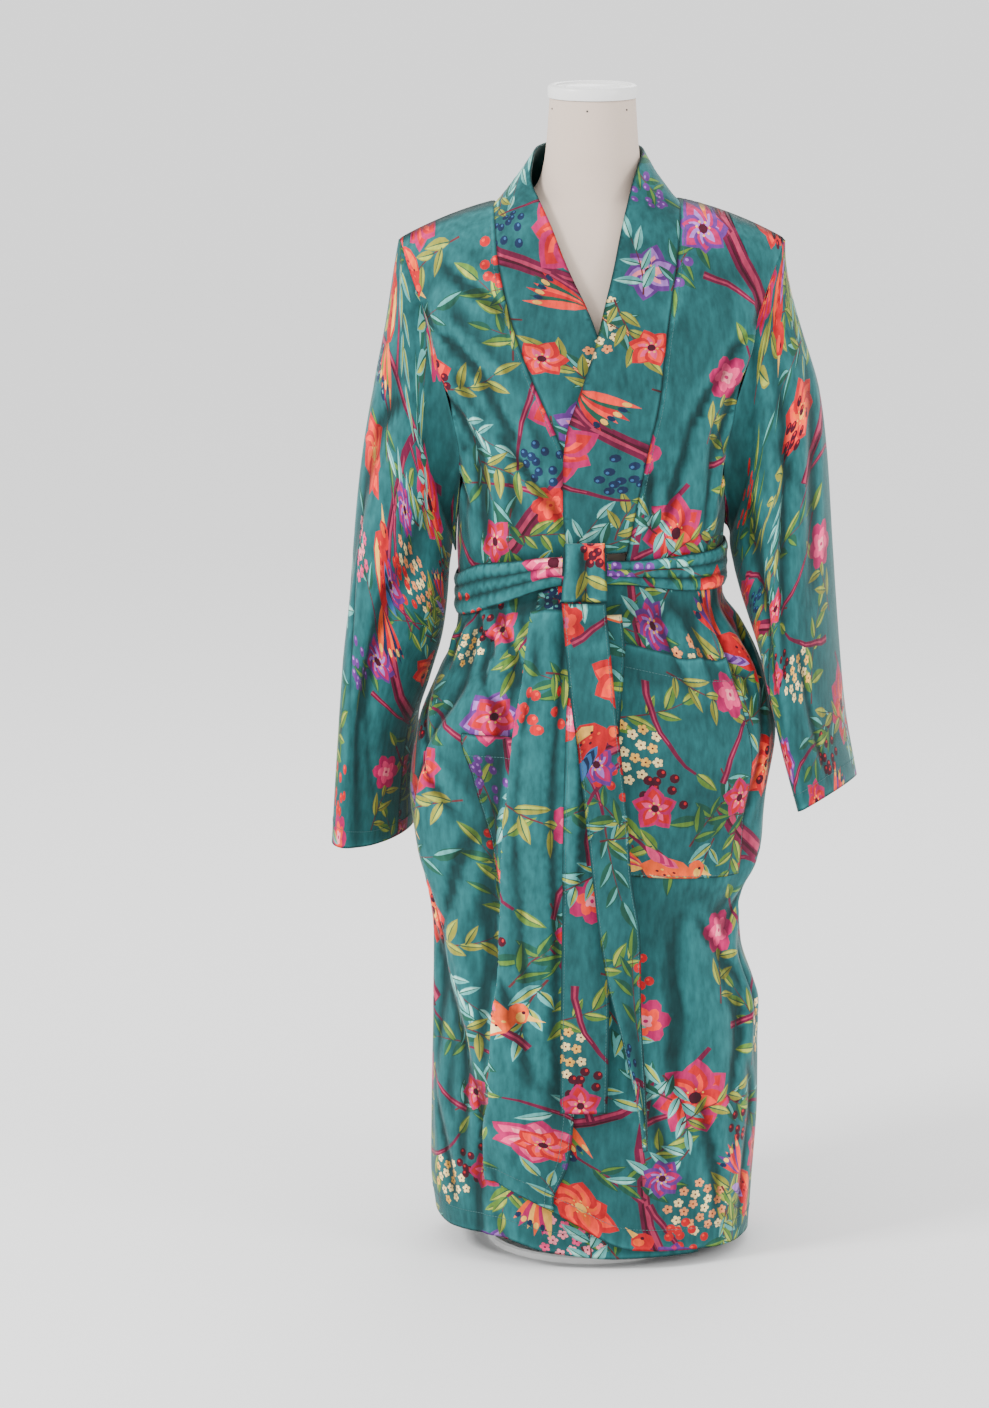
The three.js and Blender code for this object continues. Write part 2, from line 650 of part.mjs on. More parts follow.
// The belt, a doubled band whose pleats run in to the knot
const beltHalf = curve([[-180, 24], [-90, 20], [-60, 25], [-14, 15], [-4, 13], [4, 12], [12, 12], [45, 20],
  [90, 23], [180, 24]]);
const beltLift = curve([[-180, 3], [-52, 3], [-30, 10.8], [50, 10.8], [82, 3.4], [180, 3]]);
const pleatSize = curve([[-100, 0], [-60, 1.2], [-15, 2.2], [15, 2.2], [60, 1.2], [100, 0]]);
const BELT_THICK = 3.2;
const beltAcross = [-1, -0.67, -0.33, 0, 0.33, 0.67, 1];
const beltAngles = Array.from({ length: 40 }, (_, j) => -180 + 360 * j / 40);

function belt() {
  const outer = [];
  const inner = [];
  beltAcross.forEach((share, i) => {
    const low = [];
    const high = [];
    for (const angle of beltAngles) {
      const height = WAIST + share * beltHalf(angle);
      const pleat = i % 2 === 1 ? pleatSize(angle) : 0;
      const normal = robeNormal(angle, height);
      low.push(robe(angle, height).addScaledVector(normal, beltLift(angle)));
      high.push(robe(angle, height).addScaledVector(normal, beltLift(angle) + BELT_THICK + pleat));
    }
    inner.push(low);
    outer.push(high);
  });
  add('belt_waist', wall(outer, inner, true), robeCloth);
}

belt();

// The knot: the belt's end comes up behind and folds down over it as a flat loop
const KNOT_X = -9;
const KNOT_TOP = 803;
const KNOT_FOOT = 742;
const KNOT_HALF = 24;
const KNOT_LIFT = 10.8 + BELT_THICK + 2.2 + 0.4;
const KNOT_DEPTH = 16;

function knot() {
  const rings = 8;
  const around = 14;
  const outer = [];
  const back = onFront(KNOT_X, WAIST, KNOT_LIFT).y;
  for (let i = 0; i <= rings; i += 1) {
    const t = i / rings;
    const z = mix(KNOT_TOP, KNOT_FOOT, t);
    const full = Math.sin(Math.PI * clamp(0.06 + 0.88 * t, 0, 1)) ** 0.35;
    const row = [];
    for (let j = 0; j < around; j += 1) {
      const turn = 2 * Math.PI * j / around;
      const c = Math.cos(turn);
      const s = Math.sin(turn);
      const x = KNOT_X + KNOT_HALF * (0.86 + 0.14 * full) * Math.sign(c) * Math.abs(c) ** 0.6;
      const y = back - KNOT_DEPTH / 2 * full * (1 + Math.sign(s) * Math.abs(s) ** 0.7)
        + (1 - full) * KNOT_DEPTH * -0.5;
      row.push(new THREE.Vector3(x, y, z));
    }
    outer.push(row);
  }
  add('belt_knot', stack(outer), robeCloth);
}

knot();

// The belt's two hanging ends: left and right edge as x by height
function tail(name, heights, leftX, rightX, lift, hang) {
  const grid = heights.map(z => [0, 0.33, 0.67, 1].map(share => {
    const x = mix(leftX(z), rightX(z), share);
    const point = onFront(x, z, lift);
    return new THREE.Vector3(x, Math.min(point.y, hang(z)) - 2 * Math.sin(Math.PI * share), z);
  }));
  const normals = gridNormals(grid, behind);
  add(name, wall(moved(grid, normals, DOUBLE), grid), robeCloth);
}

const TAIL_BEHIND = TOP_LAYER + CLOTH + FLAP_GAP + DOUBLE + 1.5;
const TAIL_FRONT = TAIL_BEHIND + DOUBLE + 1.6;
tail('belt_tail_behind', [727, 700, 670, 630, 590, 540, 480, 420, 360, 300, 240, 182],
  curve([[727, -12], [700, -16], [650, -26], [480, -31], [182, -34]]),
  curve([[727, 30], [690, 34], [636, 30], [480, 22], [182, 17]]),
  TAIL_BEHIND, curve([[727, -133], [640, -149], [182, -150]]));
tail('belt_tail_front', [740, 720, 690, 650, 610, 570, 530, 480, 430, 380, 330, 290, 250, 210, 170, 142],
  curve([[741, -33], [650, -25], [565, -14], [440, 1], [390, 7], [325, 18], [265, 33], [180, 51], [142, 56]]),
  curve([[741, 13], [650, 22], [520, 36], [440, 42], [380, 51], [300, 53], [180, 60], [142, 61]]),
  TAIL_FRONT, curve([[741, -136], [720, -141], [690, -152], [640, -159], [142, -158]]));

// The dress form: a smooth linen body from neck to hip, round rings with shoulders
const form = curves(['height', 'half', 'front', 'back', 'mid', 'round'], [
  [1262, 46, 46, 46, 4, 1],
  [1206, 50, 50, 50, 6, 1],
  [1183, 54, 52, 50, 8, 1],
  [1167, 61, 54, 49, 8, 1.1],
  [1158, 74, 56, 49, 8, 1.5],
  [1153.5, 87.5, 58, 48, 8, 1.9],
  [1150, 101.5, 60, 48, 8, 2.1],
  [1145, 120, 62, 49, 8, 2],
  [1140, 136, 64, 51, 8, 1.9],
  [1130, 162, 69, 56, 8, 1.8],
  [1118, 170, 74, 62, 8, 1.5],
  [1100, 170, 80, 69, 8, 1.2],
  [1060, 164, 92, 80, 6, 1],
  [1020, 158, 105, 90, 5, 1],
  [980, 150, 110, 92, 4, 1],
  [900, 136, 108, 90, 2, 1],
  [800, 125, 98, 82, 0, 1],
  [740, 126, 98, 84, 0, 1],
  [640, 146, 106, 100, 0, 1],
  [560, 150, 108, 104, 0, 1],
]);
const formRings = [1262, 1235, 1206, 1190, 1176, 1166, 1159, 1154, 1150, 1145, 1140, 1135, 1130, 1124, 1112,
  1090, 1060, 1020, 980, 940, 880, 800, 740, 680, 620, 560];
const FORM_SIDES = 32;
const formCloth = { color: 0xddd0c4, roughness: 0.9, metalness: 0 };
const whitePlastic = { color: 0xf2f1ee, roughness: 0.35, metalness: 0 };
const paleEnamel = { color: 0xe9e8e4, roughness: 0.45, metalness: 0.1 };

function formRing(height) {
  return Array.from({ length: FORM_SIDES }, (_, j) => {
    const turn = 2 * Math.PI * j / FORM_SIDES;
    const c = Math.cos(turn);
    const deep = c > 0 ? form.front(height) : form.back(height);
    return new THREE.Vector3(form.half(height) * Math.sin(turn),
      form.mid(height) - deep * Math.sign(c) * Math.abs(c) ** form.round(height), height);
  });
}

// Closed body from stacked rings, with a flat fan at each end
function stack(rings) {
  const around = rings[0].length;
  const points = rings.flat();
  const faces = [];
  for (let i = 0; i + 1 < rings.length; i += 1) {
    for (let j = 0; j < around; j += 1) {
      const a = i * around + j;
      const b = i * around + (j + 1) % around;
      faces.push(a, a + around, b + around, a, b + around, b);
    }
  }
  for (const ring of [0, rings.length - 1]) {
    points.push(rowCentre(rings[ring]));
    for (let j = 0; j < around; j += 1) {
      const pair = [ring * around + j, ring * around + (j + 1) % around];
      faces.push(points.length - 1, ...(ring ? pair.toReversed() : pair));
    }
  }
  return solid(points, faces);
}

add('form_torso', stack(formRings.map(formRing)), formCloth);

// A turned piece on the form's own upright axis
function turned(name, profile, sides, centreY, look) {
  const points = profile.map(([r, z]) => new THREE.Vector2(r, z));
  const geometry = new THREE.LatheGeometry([...points, points[0]], sides);
  geometry.rotateX(Math.PI / 2);
  geometry.translate(0, centreY, 0);
  add(name, geometry, look);
}

const capFoot = NECK_TOP + SEAM;
const capTop = capFoot + CAP_THICK;
turned('form_neck_cap', [[0, capFoot], [CAP_RADIUS - 1, capFoot], [CAP_RADIUS, capFoot + 2],
  [CAP_RADIUS, capTop - 3], [CAP_RADIUS - 2.5, capTop], [CAP_RADIUS - 9, capTop], [CAP_RADIUS - 10, capTop - 2.5],
  [0, capTop - 2.5]], 28, form.mid(NECK_TOP), whitePlastic);
turned('form_pole', [[0, BASE_THICK + SEAM], [POLE_RADIUS + 12, BASE_THICK + SEAM],
  [POLE_RADIUS + 12, BASE_THICK + 14], [POLE_RADIUS, BASE_THICK + 20], [POLE_RADIUS, 560 - SEAM],
  [0, 560 - SEAM]], 14, 0, paleEnamel);
turned('form_base', [[0, 0], [BASE_RADIUS, 0], [BASE_RADIUS, BASE_THICK - 2], [BASE_RADIUS - 2, BASE_THICK],
  [0, BASE_THICK]], 32, 0, paleEnamel);

export default group;
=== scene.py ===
import math
import random
import bpy
import numpy as np
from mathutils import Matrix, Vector
from mathutils.geometry import delaunay_2d_cdt


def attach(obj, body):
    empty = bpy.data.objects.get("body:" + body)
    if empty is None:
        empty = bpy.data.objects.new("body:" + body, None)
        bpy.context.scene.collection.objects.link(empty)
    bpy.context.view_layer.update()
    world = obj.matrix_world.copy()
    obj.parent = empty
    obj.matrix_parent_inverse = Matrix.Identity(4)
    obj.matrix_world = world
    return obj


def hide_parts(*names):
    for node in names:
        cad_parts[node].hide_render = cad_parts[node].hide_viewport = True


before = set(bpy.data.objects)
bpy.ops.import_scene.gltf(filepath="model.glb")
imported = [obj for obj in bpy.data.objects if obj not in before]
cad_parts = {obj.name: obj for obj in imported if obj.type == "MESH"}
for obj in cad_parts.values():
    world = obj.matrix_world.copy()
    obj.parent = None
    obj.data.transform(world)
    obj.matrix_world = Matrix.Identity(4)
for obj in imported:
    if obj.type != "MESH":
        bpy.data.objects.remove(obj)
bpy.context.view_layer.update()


# The stand: a round steel plate in pale enamel, with a tube and its collar standing on it.
# The plate and the tube are turned pieces, so their own nodes keep their shapes and get the enamel.
ENAMEL = (0.78, 0.77, 0.745, 1)


def new_material(name, color, roughness, specular=0.5):
    material = bpy.data.materials.new(name)
    material.use_nodes = True
    shader = material.node_tree.nodes["Principled BSDF"]
    shader.inputs["Base Color"].default_value = color
    shader.inputs["Roughness"].default_value = roughness
    shader.inputs["Specular IOR Level"].default_value = specular
    return material, material.node_tree, shader


def object_noise(tree, scale, detail=3.0, stretch=(1, 1, 1)):
    place = tree.nodes.new("ShaderNodeTexCoord")
    mapping = tree.nodes.new("ShaderNodeMapping")
    mapping.inputs["Scale"].default_value = stretch
    noise = tree.nodes.new("ShaderNodeTexNoise")
    noise.inputs["Scale"].default_value = scale
    noise.inputs["Detail"].default_value = detail
    tree.links.new(place.outputs["Object"], mapping.inputs["Vector"])
    tree.links.new(mapping.outputs["Vector"], noise.inputs["Vector"])
    return noise


def add_bump(tree, shader, height, distance, strength):
    bump = tree.nodes.new("ShaderNodeBump")
    bump.inputs["Distance"].default_value = distance
    bump.inputs["Strength"].default_value = strength
    tree.links.new(height, bump.inputs["Height"])
    tree.links.new(bump.outputs["Normal"], shader.inputs["Normal"])
    return bump


def tinted(tree, shader, factor, low, high):
    ramp = tree.nodes.new("ShaderNodeValToRGB")
    ramp.color_ramp.elements[0].color = low
    ramp.color_ramp.elements[1].color = high
    tree.links.new(factor, ramp.inputs["Fac"])
    tree.links.new(ramp.outputs["Color"], shader.inputs["Base Color"])
    return ramp


enamel, tree, shader = new_material("pale enamel", ENAMEL, 0.38)
grain = object_noise(tree, 900)
add_bump(tree, shader, grain.outputs["Fac"], 0.00005, 0.4)
tinted(tree, shader, object_noise(tree, 30).outputs["Fac"], (0.84, 0.84, 0.83, 1), (0.90, 0.90, 0.89, 1))
for name in ("form_base", "form_pole"):
    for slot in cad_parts[name].material_slots:
        slot.material = enamel


# The form's body: one smooth padded shell under tight cream linen, from the neck to the hip.
# Rings of half widths and depths are drawn through by curves, as the pattern block's sizes are.
MM = 0.001
NECK_TOP = 1262
FORM_FOOT = 560


def curve(points):
    points = sorted(points)
    xs = np.array([p[0] for p in points], float)
    ys = np.array([p[1] for p in points], float)
    rise = np.diff(ys) / np.diff(xs)
    slope = np.zeros(len(xs))
    slope[0] = rise[0]
    slope[-1] = rise[-1]
    for i in range(1, len(xs) - 1):
        if rise[i - 1] * rise[i] > 0:
            slope[i] = 2 * rise[i - 1] * rise[i] / (rise[i - 1] + rise[i])

    def at(x):
        x = np.clip(np.asarray(x, float), xs[0], xs[-1])
        i = np.clip(np.searchsorted(xs, x, side="right") - 1, 0, len(xs) - 2)
        width = xs[i + 1] - xs[i]
        t = (x - xs[i]) / width
        value = ys[i] * (1 + 2 * t) * (1 - t) ** 2 + ys[i + 1] * t * t * (3 - 2 * t)
        return value + width * (slope[i] * t * (1 - t) ** 2 - slope[i + 1] * t * t * (1 - t))
    return at


def curves(names, rows):
    return {name: curve([(row[0], row[i + 1]) for row in rows]) for i, name in enumerate(names.split()[1:])}


form = curves("height half front back mid round", [
    (1262, 46, 46, 46, 4, 1),
    (1206, 50, 50, 50, 6, 1),
    (1183, 54, 52, 50, 8, 1),
    (1167, 61, 54, 49, 8, 1.1),
    (1158, 74, 56, 49, 8, 1.5),
    (1153.5, 87.5, 58, 48, 8, 1.9),
    (1150, 101.5, 60, 48, 8, 2.1),
    (1145, 120, 62, 49, 8, 2),
    (1140, 136, 64, 51, 8, 1.9),
    (1130, 162, 69, 56, 8, 1.8),
    (1118, 170, 74, 62, 8, 1.5),
    (1100, 170, 80, 69, 8, 1.2),
    (1060, 164, 92, 80, 6, 1),
    (1020, 158, 105, 90, 5, 1),
    (980, 150, 110, 92, 4, 1),
    (900, 136, 108, 90, 2, 1),
    (800, 125, 98, 82, 0, 1),
    (740, 126, 98, 84, 0, 1),
    (640, 146, 106, 100, 0, 1),
    (560, 150, 108, 104, 0, 1),
])
FORM_SIDES = 128
FORM_STEP = 4


def add_object(name, points, faces, material, smooth=True):
    mesh = bpy.data.meshes.new(name)
    mesh.from_pydata([tuple(p) for p in points], [], faces)
    mesh.materials.append(material)
    mesh.polygons.foreach_set("use_smooth", [smooth] * len(mesh.polygons))
    mesh.update()
    piece = bpy.data.objects.new(name, mesh)
    bpy.context.scene.collection.objects.link(piece)
    return piece


def stacked(rings):
    around = len(rings[0])
    points = [p for ring in rings for p in ring]
    faces = []
    for i in range(len(rings) - 1):
        for j in range(around):
            k = (j + 1) % around
            faces.append((i * around + j, i * around + k, (i + 1) * around + k, (i + 1) * around + j))
    faces.append(tuple(range(around))[::-1])
    faces.append(tuple((len(rings) - 1) * around + j for j in range(around)))
    return points, faces


rings = []
for z in np.arange(FORM_FOOT, NECK_TOP + 0.1, FORM_STEP * 0.5):
    turn = np.linspace(0, 2 * math.pi, FORM_SIDES, endpoint=False)
    c = np.cos(turn)
    deep = np.where(c > 0, form["front"](z), form["back"](z))
    y = form["mid"](z) - deep * np.sign(c) * np.abs(c) ** form["round"](z)
    rings.append(np.stack([form["half"](z) * np.sin(turn), y, np.full(FORM_SIDES, z)], 1) * MM)
linen, tree, shader = new_material("cream linen", (0.70, 0.60, 0.53, 1), 0.9, 0.25)
shader.inputs["Sheen Weight"].default_value = 0.15
across = object_noise(tree, 1500, 2, (0.25, 0.25, 1))
down = object_noise(tree, 1500, 2, (1, 1, 0.2))
weave = tree.nodes.new("ShaderNodeMath")
weave.operation = "ADD"
tree.links.new(across.outputs["Fac"], weave.inputs[0])
tree.links.new(down.outputs["Fac"], weave.inputs[1])
add_bump(tree, shader, weave.outputs[0], 0.0003, 0.5)
ramp = tinted(tree, shader, weave.outputs[0], (0.44, 0.335, 0.265, 1), (0.66, 0.53, 0.44, 1))
ramp.color_ramp.elements[0].position = 0.35
ramp.color_ramp.elements[1].position = 0.65
torso = add_object("form_torso_linen", *stacked(rings), linen)
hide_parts("form_torso")
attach(torso, "root")


# The neck cap: a white moulded disc pressed on the neck, its top sunk inside a raised rim.
# Three small pins hold the linen just under it.
CAP_RADIUS = 48
CAP_FOOT = 1262.3
CAP_TOP = 1276.3
cap_profile = [(0.5, CAP_FOOT), (45, CAP_FOOT), (47.4, CAP_FOOT + 0.4), (CAP_RADIUS, CAP_FOOT + 1.6),
    (CAP_RADIUS, CAP_TOP - 3.2), (47.2, CAP_TOP - 1.1), (45.2, CAP_TOP), (41, CAP_TOP), (39.4, CAP_TOP - 0.6),
    (38.6, CAP_TOP - 2.3), (30, CAP_TOP - 2.5), (29, CAP_TOP - 2.1), (28, CAP_TOP - 2.5), (0.5, CAP_TOP - 2.5)]
turn = np.linspace(0, 2 * math.pi, 96, endpoint=False)
neck_mid = float(form["mid"](NECK_TOP))
rings = [np.stack([r * np.sin(turn), neck_mid - r * np.cos(turn), np.full(96, z)], 1) * MM
    for r, z in cap_profile]
plastic, tree, shader = new_material("white plastic", (0.86, 0.86, 0.85, 1), 0.32)
add_bump(tree, shader, object_noise(tree, 260).outputs["Fac"], 0.0001, 0.25)
tinted(tree, shader, object_noise(tree, 25).outputs["Fac"], (0.82, 0.82, 0.80, 1), (0.90, 0.90, 0.89, 1))
cap = add_object("form_cap_plastic", *stacked(rings), plastic)
bevel = cap.modifiers.new("soft edges", "BEVEL")
bevel.width = 0.0004
bevel.segments = 2
bevel.limit_method = "ANGLE"
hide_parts("form_neck_cap")
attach(cap, "root")
steel, tree, shader = new_material("pin steel", (0.05, 0.05, 0.05, 1), 0.35)
shader.inputs["Metallic"].default_value = 0.8
pin_points = []
pin_faces = []
for degrees in (-68, -8, 50):
    a = math.radians(degrees)
    for ring_r, out in ((1.1, -0.4), (1.1, 0.3), (0.6, 0.8)):
        for k in range(10):
            b = 2 * math.pi * k / 10
            r = 46.6 + out
            side = ring_r * math.cos(b) / 46.6
            pin_points.append((r * math.sin(a + side) * MM, (neck_mid + 0.2 - r * math.cos(a + side)) * MM,
                (1252 + ring_r * math.sin(b)) * MM))
    base = len(pin_points) - 30
    for i in range(2):
        for k in range(10):
            n = (k + 1) % 10
            pin_faces.append((base + i * 10 + k, base + i * 10 + n, base + i * 10 + 10 + n, base + i * 10 + 10 + k))
    pin_faces.append(tuple(base + 20 + k for k in range(10)))
    pin_faces.append(tuple(base + 9 - k for k in range(10)))
pins = add_object("form_pins", pin_points, pin_faces, steel)
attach(pins, "root")


# The back of the robe: one piece of velvet from the shoulder seams to the hem, dipped at the neck.
# Its shape is the hollow worn form: rings of half widths and depths, with gathers at the belt.
# The print is drawn as flat motifs in a repeat, and each piece is cut from that repeat.
CLOTH = 2.0
DOUBLE = 3.0
TOP_LAYER = 7.0
SHOULDER_TOP = 1162
WAIST = 766
UNDERARM = 806
HEM = 12
HEM_EASE = 210
SLOPE_POWER = 2.2
BODY_ROUND = 0.85
body = curves("height right left front back mid drop", [
    (1162, 205, 205, 0, 0, 8, 52),
    (1160, 205, 205, 22, 24, 8, 52),
    (1155, 205, 205, 38, 42, 8, 52),
    (1145, 205, 205, 56, 60, 8, 51),
    (1130, 204, 203, 72, 72, 8, 50),
    (1100, 199, 197, 90, 86, 8, 47),
    (1060, 189, 187, 104, 95, 7, 41),
    (1020, 179, 177, 113, 97, 6, 33),
    (980, 168, 166, 120, 101, 5, 24),
    (940, 159, 157, 124, 102, 4, 16),
    (900, 151, 150, 124, 101, 3, 9),
    (860, 146, 146, 121, 99, 2, 4),
    (806, 143, 142, 115, 96, 0, 0),
    (766, 141, 140, 111, 94, 0, 0),
    (730, 143, 141, 113, 96, 0, 0),
    (700, 147, 160, 120, 106, 0, 0),
    (665, 153, 178, 127, 114, 0, 0),
    (640, 163, 187, 132, 122, 0, 0),
    (580, 186, 200, 138, 132, 0, 0),
    (510, 195, 190, 138, 134, 0, 0),
    (450, 188, 184, 134, 132, 0, 0),
    (390, 174, 161, 130, 128, 0, 0),
    (340, 169, 164, 128, 126, 0, 0),
    (270, 170, 183, 130, 128, 0, 0),
    (170, 172, 184, 132, 130, 0, 0),
    (60, 173, 178, 133, 130, 0, 0),
    (12, 168, 175, 134, 130, 0, 0),
])
belt_sag = curve([(-180, -20), (-135, -30), (-90, -38), (-45, -14), (-10, 6), (45, 0), (90, -3), (135, -10),
    (180, -20)])
slope_across = curve([(4, 0), (52, -30), (70, -20), (89, 0)])
slope_down = curve([(742, 0), (696, 1), (600, 0.7), (446, 0.35), (380, 0)])
# Folds as crest angle at the top and the bottom, from and to in height, size and two flanks
folds = [
    (-17, -19, 744, 120, 4, 6, 5),
    (-6, -8, 744, 160, 4, 6, 5),
    (-78, -84, 744, 640, 5, 6, 7),
    (-64, -70, 744, 650, 5, 6, 7),
    (-50, -52, 744, 600, 5, 6, 6),
    (-38, -40, 744, 560, 4, 6, 6),
    (66, 74, 740, 610, 9, 9, 10),
    (50, 58, 744, 660, 4, 7, 7),
    (34, 40, 744, 640, 4, 7, 7),
    (72, 60, 560, 60, 7, 14, 10),
    (40, 48, 420, 30, 5, 16, 14),
    (-76, -70, 420, 40, 6, 10, 12),
    (-62, -58, 900, 790, 5, 8, 7),
    (-44, -42, 940, 790, 5, 8, 8),
    (-56, -74, 1100, 860, 6, 9, 12),
    (62, 58, 900, 790, 5, 7, 8),
    (44, 46, 940, 790, 4, 8, 8),
    (56, 74, 1100, 860, 6, 12, 9),
    (112, 106, 744, 120, 7, 11, 11),
    (132, 128, 744, 60, 6, 9, 9),
    (152, 150, 744, 200, 8, 10, 10),
    (172, 174, 744, 60, 6, 9, 9),
    (194, 196, 744, 140, 8, 10, 10),
    (214, 216, 744, 60, 6, 9, 9),
    (236, 240, 744, 160, 7, 11, 11),
    (120, 116, 960, 790, 5, 8, 8),
    (142, 140, 1000, 790, 6, 9, 9),
    (166, 168, 960, 790, 5, 8, 8),
    (190, 190, 1010, 790, 6, 9, 9),
    (212, 214, 970, 790, 5, 8, 8),
    (236, 240, 960, 790, 5, 8, 8),
]
ridge_angle = curve([(740, -28), (640, -45), (549, -60), (465, -64), (400, -61), (335, -56), (237, -42),
    (152, -33), (12, -26)])
ridge_size = curve([(745, 0), (690, 6), (600, 13), (465, 15), (300, 14), (152, 8), (12, 4)])
turn_angle = curve([(751, -23), (654, -24.5), (565, -24), (453, -27), (353, -31), (270, -33), (191, -33),
    (107, -36), (12, -38)])
turn_size = curve([(745, 0), (690, 4), (565, 8), (353, 9), (191, 7), (12, 5)])


def ease(x, low, high):
    t = np.clip((np.asarray(x, float) - low) / (high - low), 0, 1)
    return t * t * (3 - 2 * t)


def bump_shape(offset, before, after):
    share = np.where(offset < 0, -offset / before, offset / after)
    return np.where(share >= 1, 0, np.cos(np.minimum(share, 1) * math.pi / 2) ** 2)


def turned(angle):
    return (angle + 540) % 360 - 180


def folds_at(angle, height):
    total = np.zeros(np.broadcast(angle, height).shape)
    for top, bottom, start, end, size, before, after in folds:
        t = np.clip((start - height) / (start - end), 0, 1)
        crest = top + (bottom - top) * t
        total += size * np.sin(math.pi * t ** 0.7) * bump_shape(turned(angle - crest), before, after)
    total += ridge_size(height) * bump_shape(angle - ridge_angle(height), 10, 30) * ease(-angle, -20, 10)
    total += turn_size(height) * bump_shape(angle - turn_angle(height), 7, 26)
    belted = ease(height, 715, 738) * (1 - ease(height, 794, 815))
    return total * (1 - belted)


FOLD_ANGLE = 0.25
FOLD_RISE = 1.0
table_angles = np.arange(-180, 180 + FOLD_ANGLE / 2, FOLD_ANGLE)[:, None]
table_heights = np.arange(0, SHOULDER_TOP + 6, FOLD_RISE)[None, :]
fold_table = folds_at(table_angles, table_heights)


def from_table(table, angle, height):
    x = np.clip((turned(angle) + 180) / FOLD_ANGLE, 0, table.shape[0] - 1.001)
    y = np.clip(height / FOLD_RISE, 0, table.shape[1] - 1.001)
    i = x.astype(int)
    j = y.astype(int)
    a = x - i
    b = y - j
    low = table[i, j] * (1 - a) + table[i + 1, j] * a
    return low * (1 - b) + (table[i, j + 1] * (1 - a) + table[i + 1, j + 1] * a) * b


def fold_height(angle, height):
    return from_table(fold_table, *np.broadcast_arrays(np.asarray(angle, float), np.asarray(height, float)))


# Small creases of the worn cloth: angle, height, lean, half length, half width and depth
creases = [
    (-66, 560, 38, 90, 9, 2.6), (-40, 640, 24, 70, 8, 2.2), (-52, 420, -30, 80, 10, 2.4),
    (-30, 300, 12, 110, 9, 2.0), (-70, 250, -14, 90, 10, 2.2), (62, 560, -26, 70, 9, 2.4),
    (70, 420, -34, 80, 10, 2.6), (52, 350, 30, 60, 9, 2.0), (30, 300, -10, 120, 10, 1.8),
    (64, 210, 14, 100, 11, 2.2), (20, 180, 8, 90, 9, 1.8), (-50, 1010, 30, 90, 9, 2.4),
    (-36, 930, 20, 80, 8, 2.0), (52, 1000, -30, 90, 9, 2.4), (40, 900, -16, 80, 8, 2.0),
    (-70, 860, 46, 50, 8, 2.4), (70, 870, -46, 50, 8, 2.4), (150, 1050, 40, 90, 10, 2.4),
    (205, 1060, -36, 90, 10, 2.4), (180, 860, 6, 70, 9, 2.0), (125, 880, -40, 60, 9, 2.2),
    (-30, 880, 26, 60, 7, 2.4), (-18, 850, 10, 50, 6, 2.0), (34, 860, -24, 60, 7, 2.4), (24, 840, -8, 50, 6, 2.0),
    (-62, 950, 20, 70, 9, 2.4), (62, 960, -22, 70, 9, 2.4), (-34, 690, 20, 60, 7, 2.6), (-48, 700, 30, 60, 7, 2.4),
    (60, 700, -24, 50, 7, 2.2), (76, 660, -30, 60, 8, 2.4), (44, 120, 6, 90, 9, 2.2), (66, 100, -8, 80, 10, 2.2),
    (-66, 120, 12, 90, 9, 2.4), (-52, 180, -8, 90, 8, 2.2), (58, 260, -20, 80, 10, 2.4), (76, 300, 16, 90, 9, 2.4),
    (-78, 380, 20, 90, 9, 2.4), (-56, 330, 8, 100, 8, 2.0), (20, 1060, -30, 50, 9, 1.6), (-40, 1080, 34, 60, 9, 2.0),
    (235, 890, 40, 60, 9, 2.2), (170, 420, 12, 120, 11, 2.0), (215, 330, -16, 130, 11, 2.2),
    (130, 300, 18, 110, 10, 2.0), (190, 620, -20, 70, 10, 2.2), (150, 150, 10, 80, 10, 1.8),
]
PATTERN_SCALE = 2.75
CREASE_GAIN = 2.2


def creases_at(angle, height):
    total = np.zeros(np.broadcast(angle, height).shape)
    for at_angle, at_height, lean, length, width, depth in creases:
        x = turned(angle - at_angle) * PATTERN_SCALE
        z = height - at_height
        c = math.cos(math.radians(lean))
        s = math.sin(math.radians(lean))
        along = z * c - x * s
        off = x * c + z * s + 6 * np.sin(along / length * 2)
        end = np.clip(1 - (along / length) ** 2, 0, 1)
        total -= CREASE_GAIN * depth * end * np.exp(-(off / width) ** 2)
        total += CREASE_GAIN * depth * 0.6 * end * np.exp(-((off - 1.7 * width) / width) ** 2)
    return total


crease_table = creases_at(table_angles, table_heights)


def crease_height(angle, height):
    return from_table(crease_table, *np.broadcast_arrays(np.asarray(angle, float), np.asarray(height, float)))


def robe(angle, height):
    angle, height = np.broadcast_arrays(np.asarray(angle, float), np.asarray(height, float))
    s = np.sin(np.radians(angle))
    c = np.cos(np.radians(angle))
    wide = np.where(s < 0, body["right"](height), body["left"](height))
    deep = np.where(c > 0, body["front"](height), body["back"](height))
    near = np.sign(c) * np.abs(c) ** BODY_ROUND
    round_angle = turned(angle)
    sag = belt_sag(round_angle) * ease(height, 640, WAIST - 20) * (1 - ease(height, WAIST + 20, 880))
    out = fold_height(angle, height)
    fall = body["drop"](height) * np.abs(s) ** SLOPE_POWER - slope_across(round_angle) * slope_down(height)
    return np.stack([wide * s + out * s, body["mid"](height) - deep * near - out * c, height - fall + sag], -1)


def unit(vectors):
    return vectors / np.maximum(np.linalg.norm(vectors, axis=-1, keepdims=True), 1e-9)


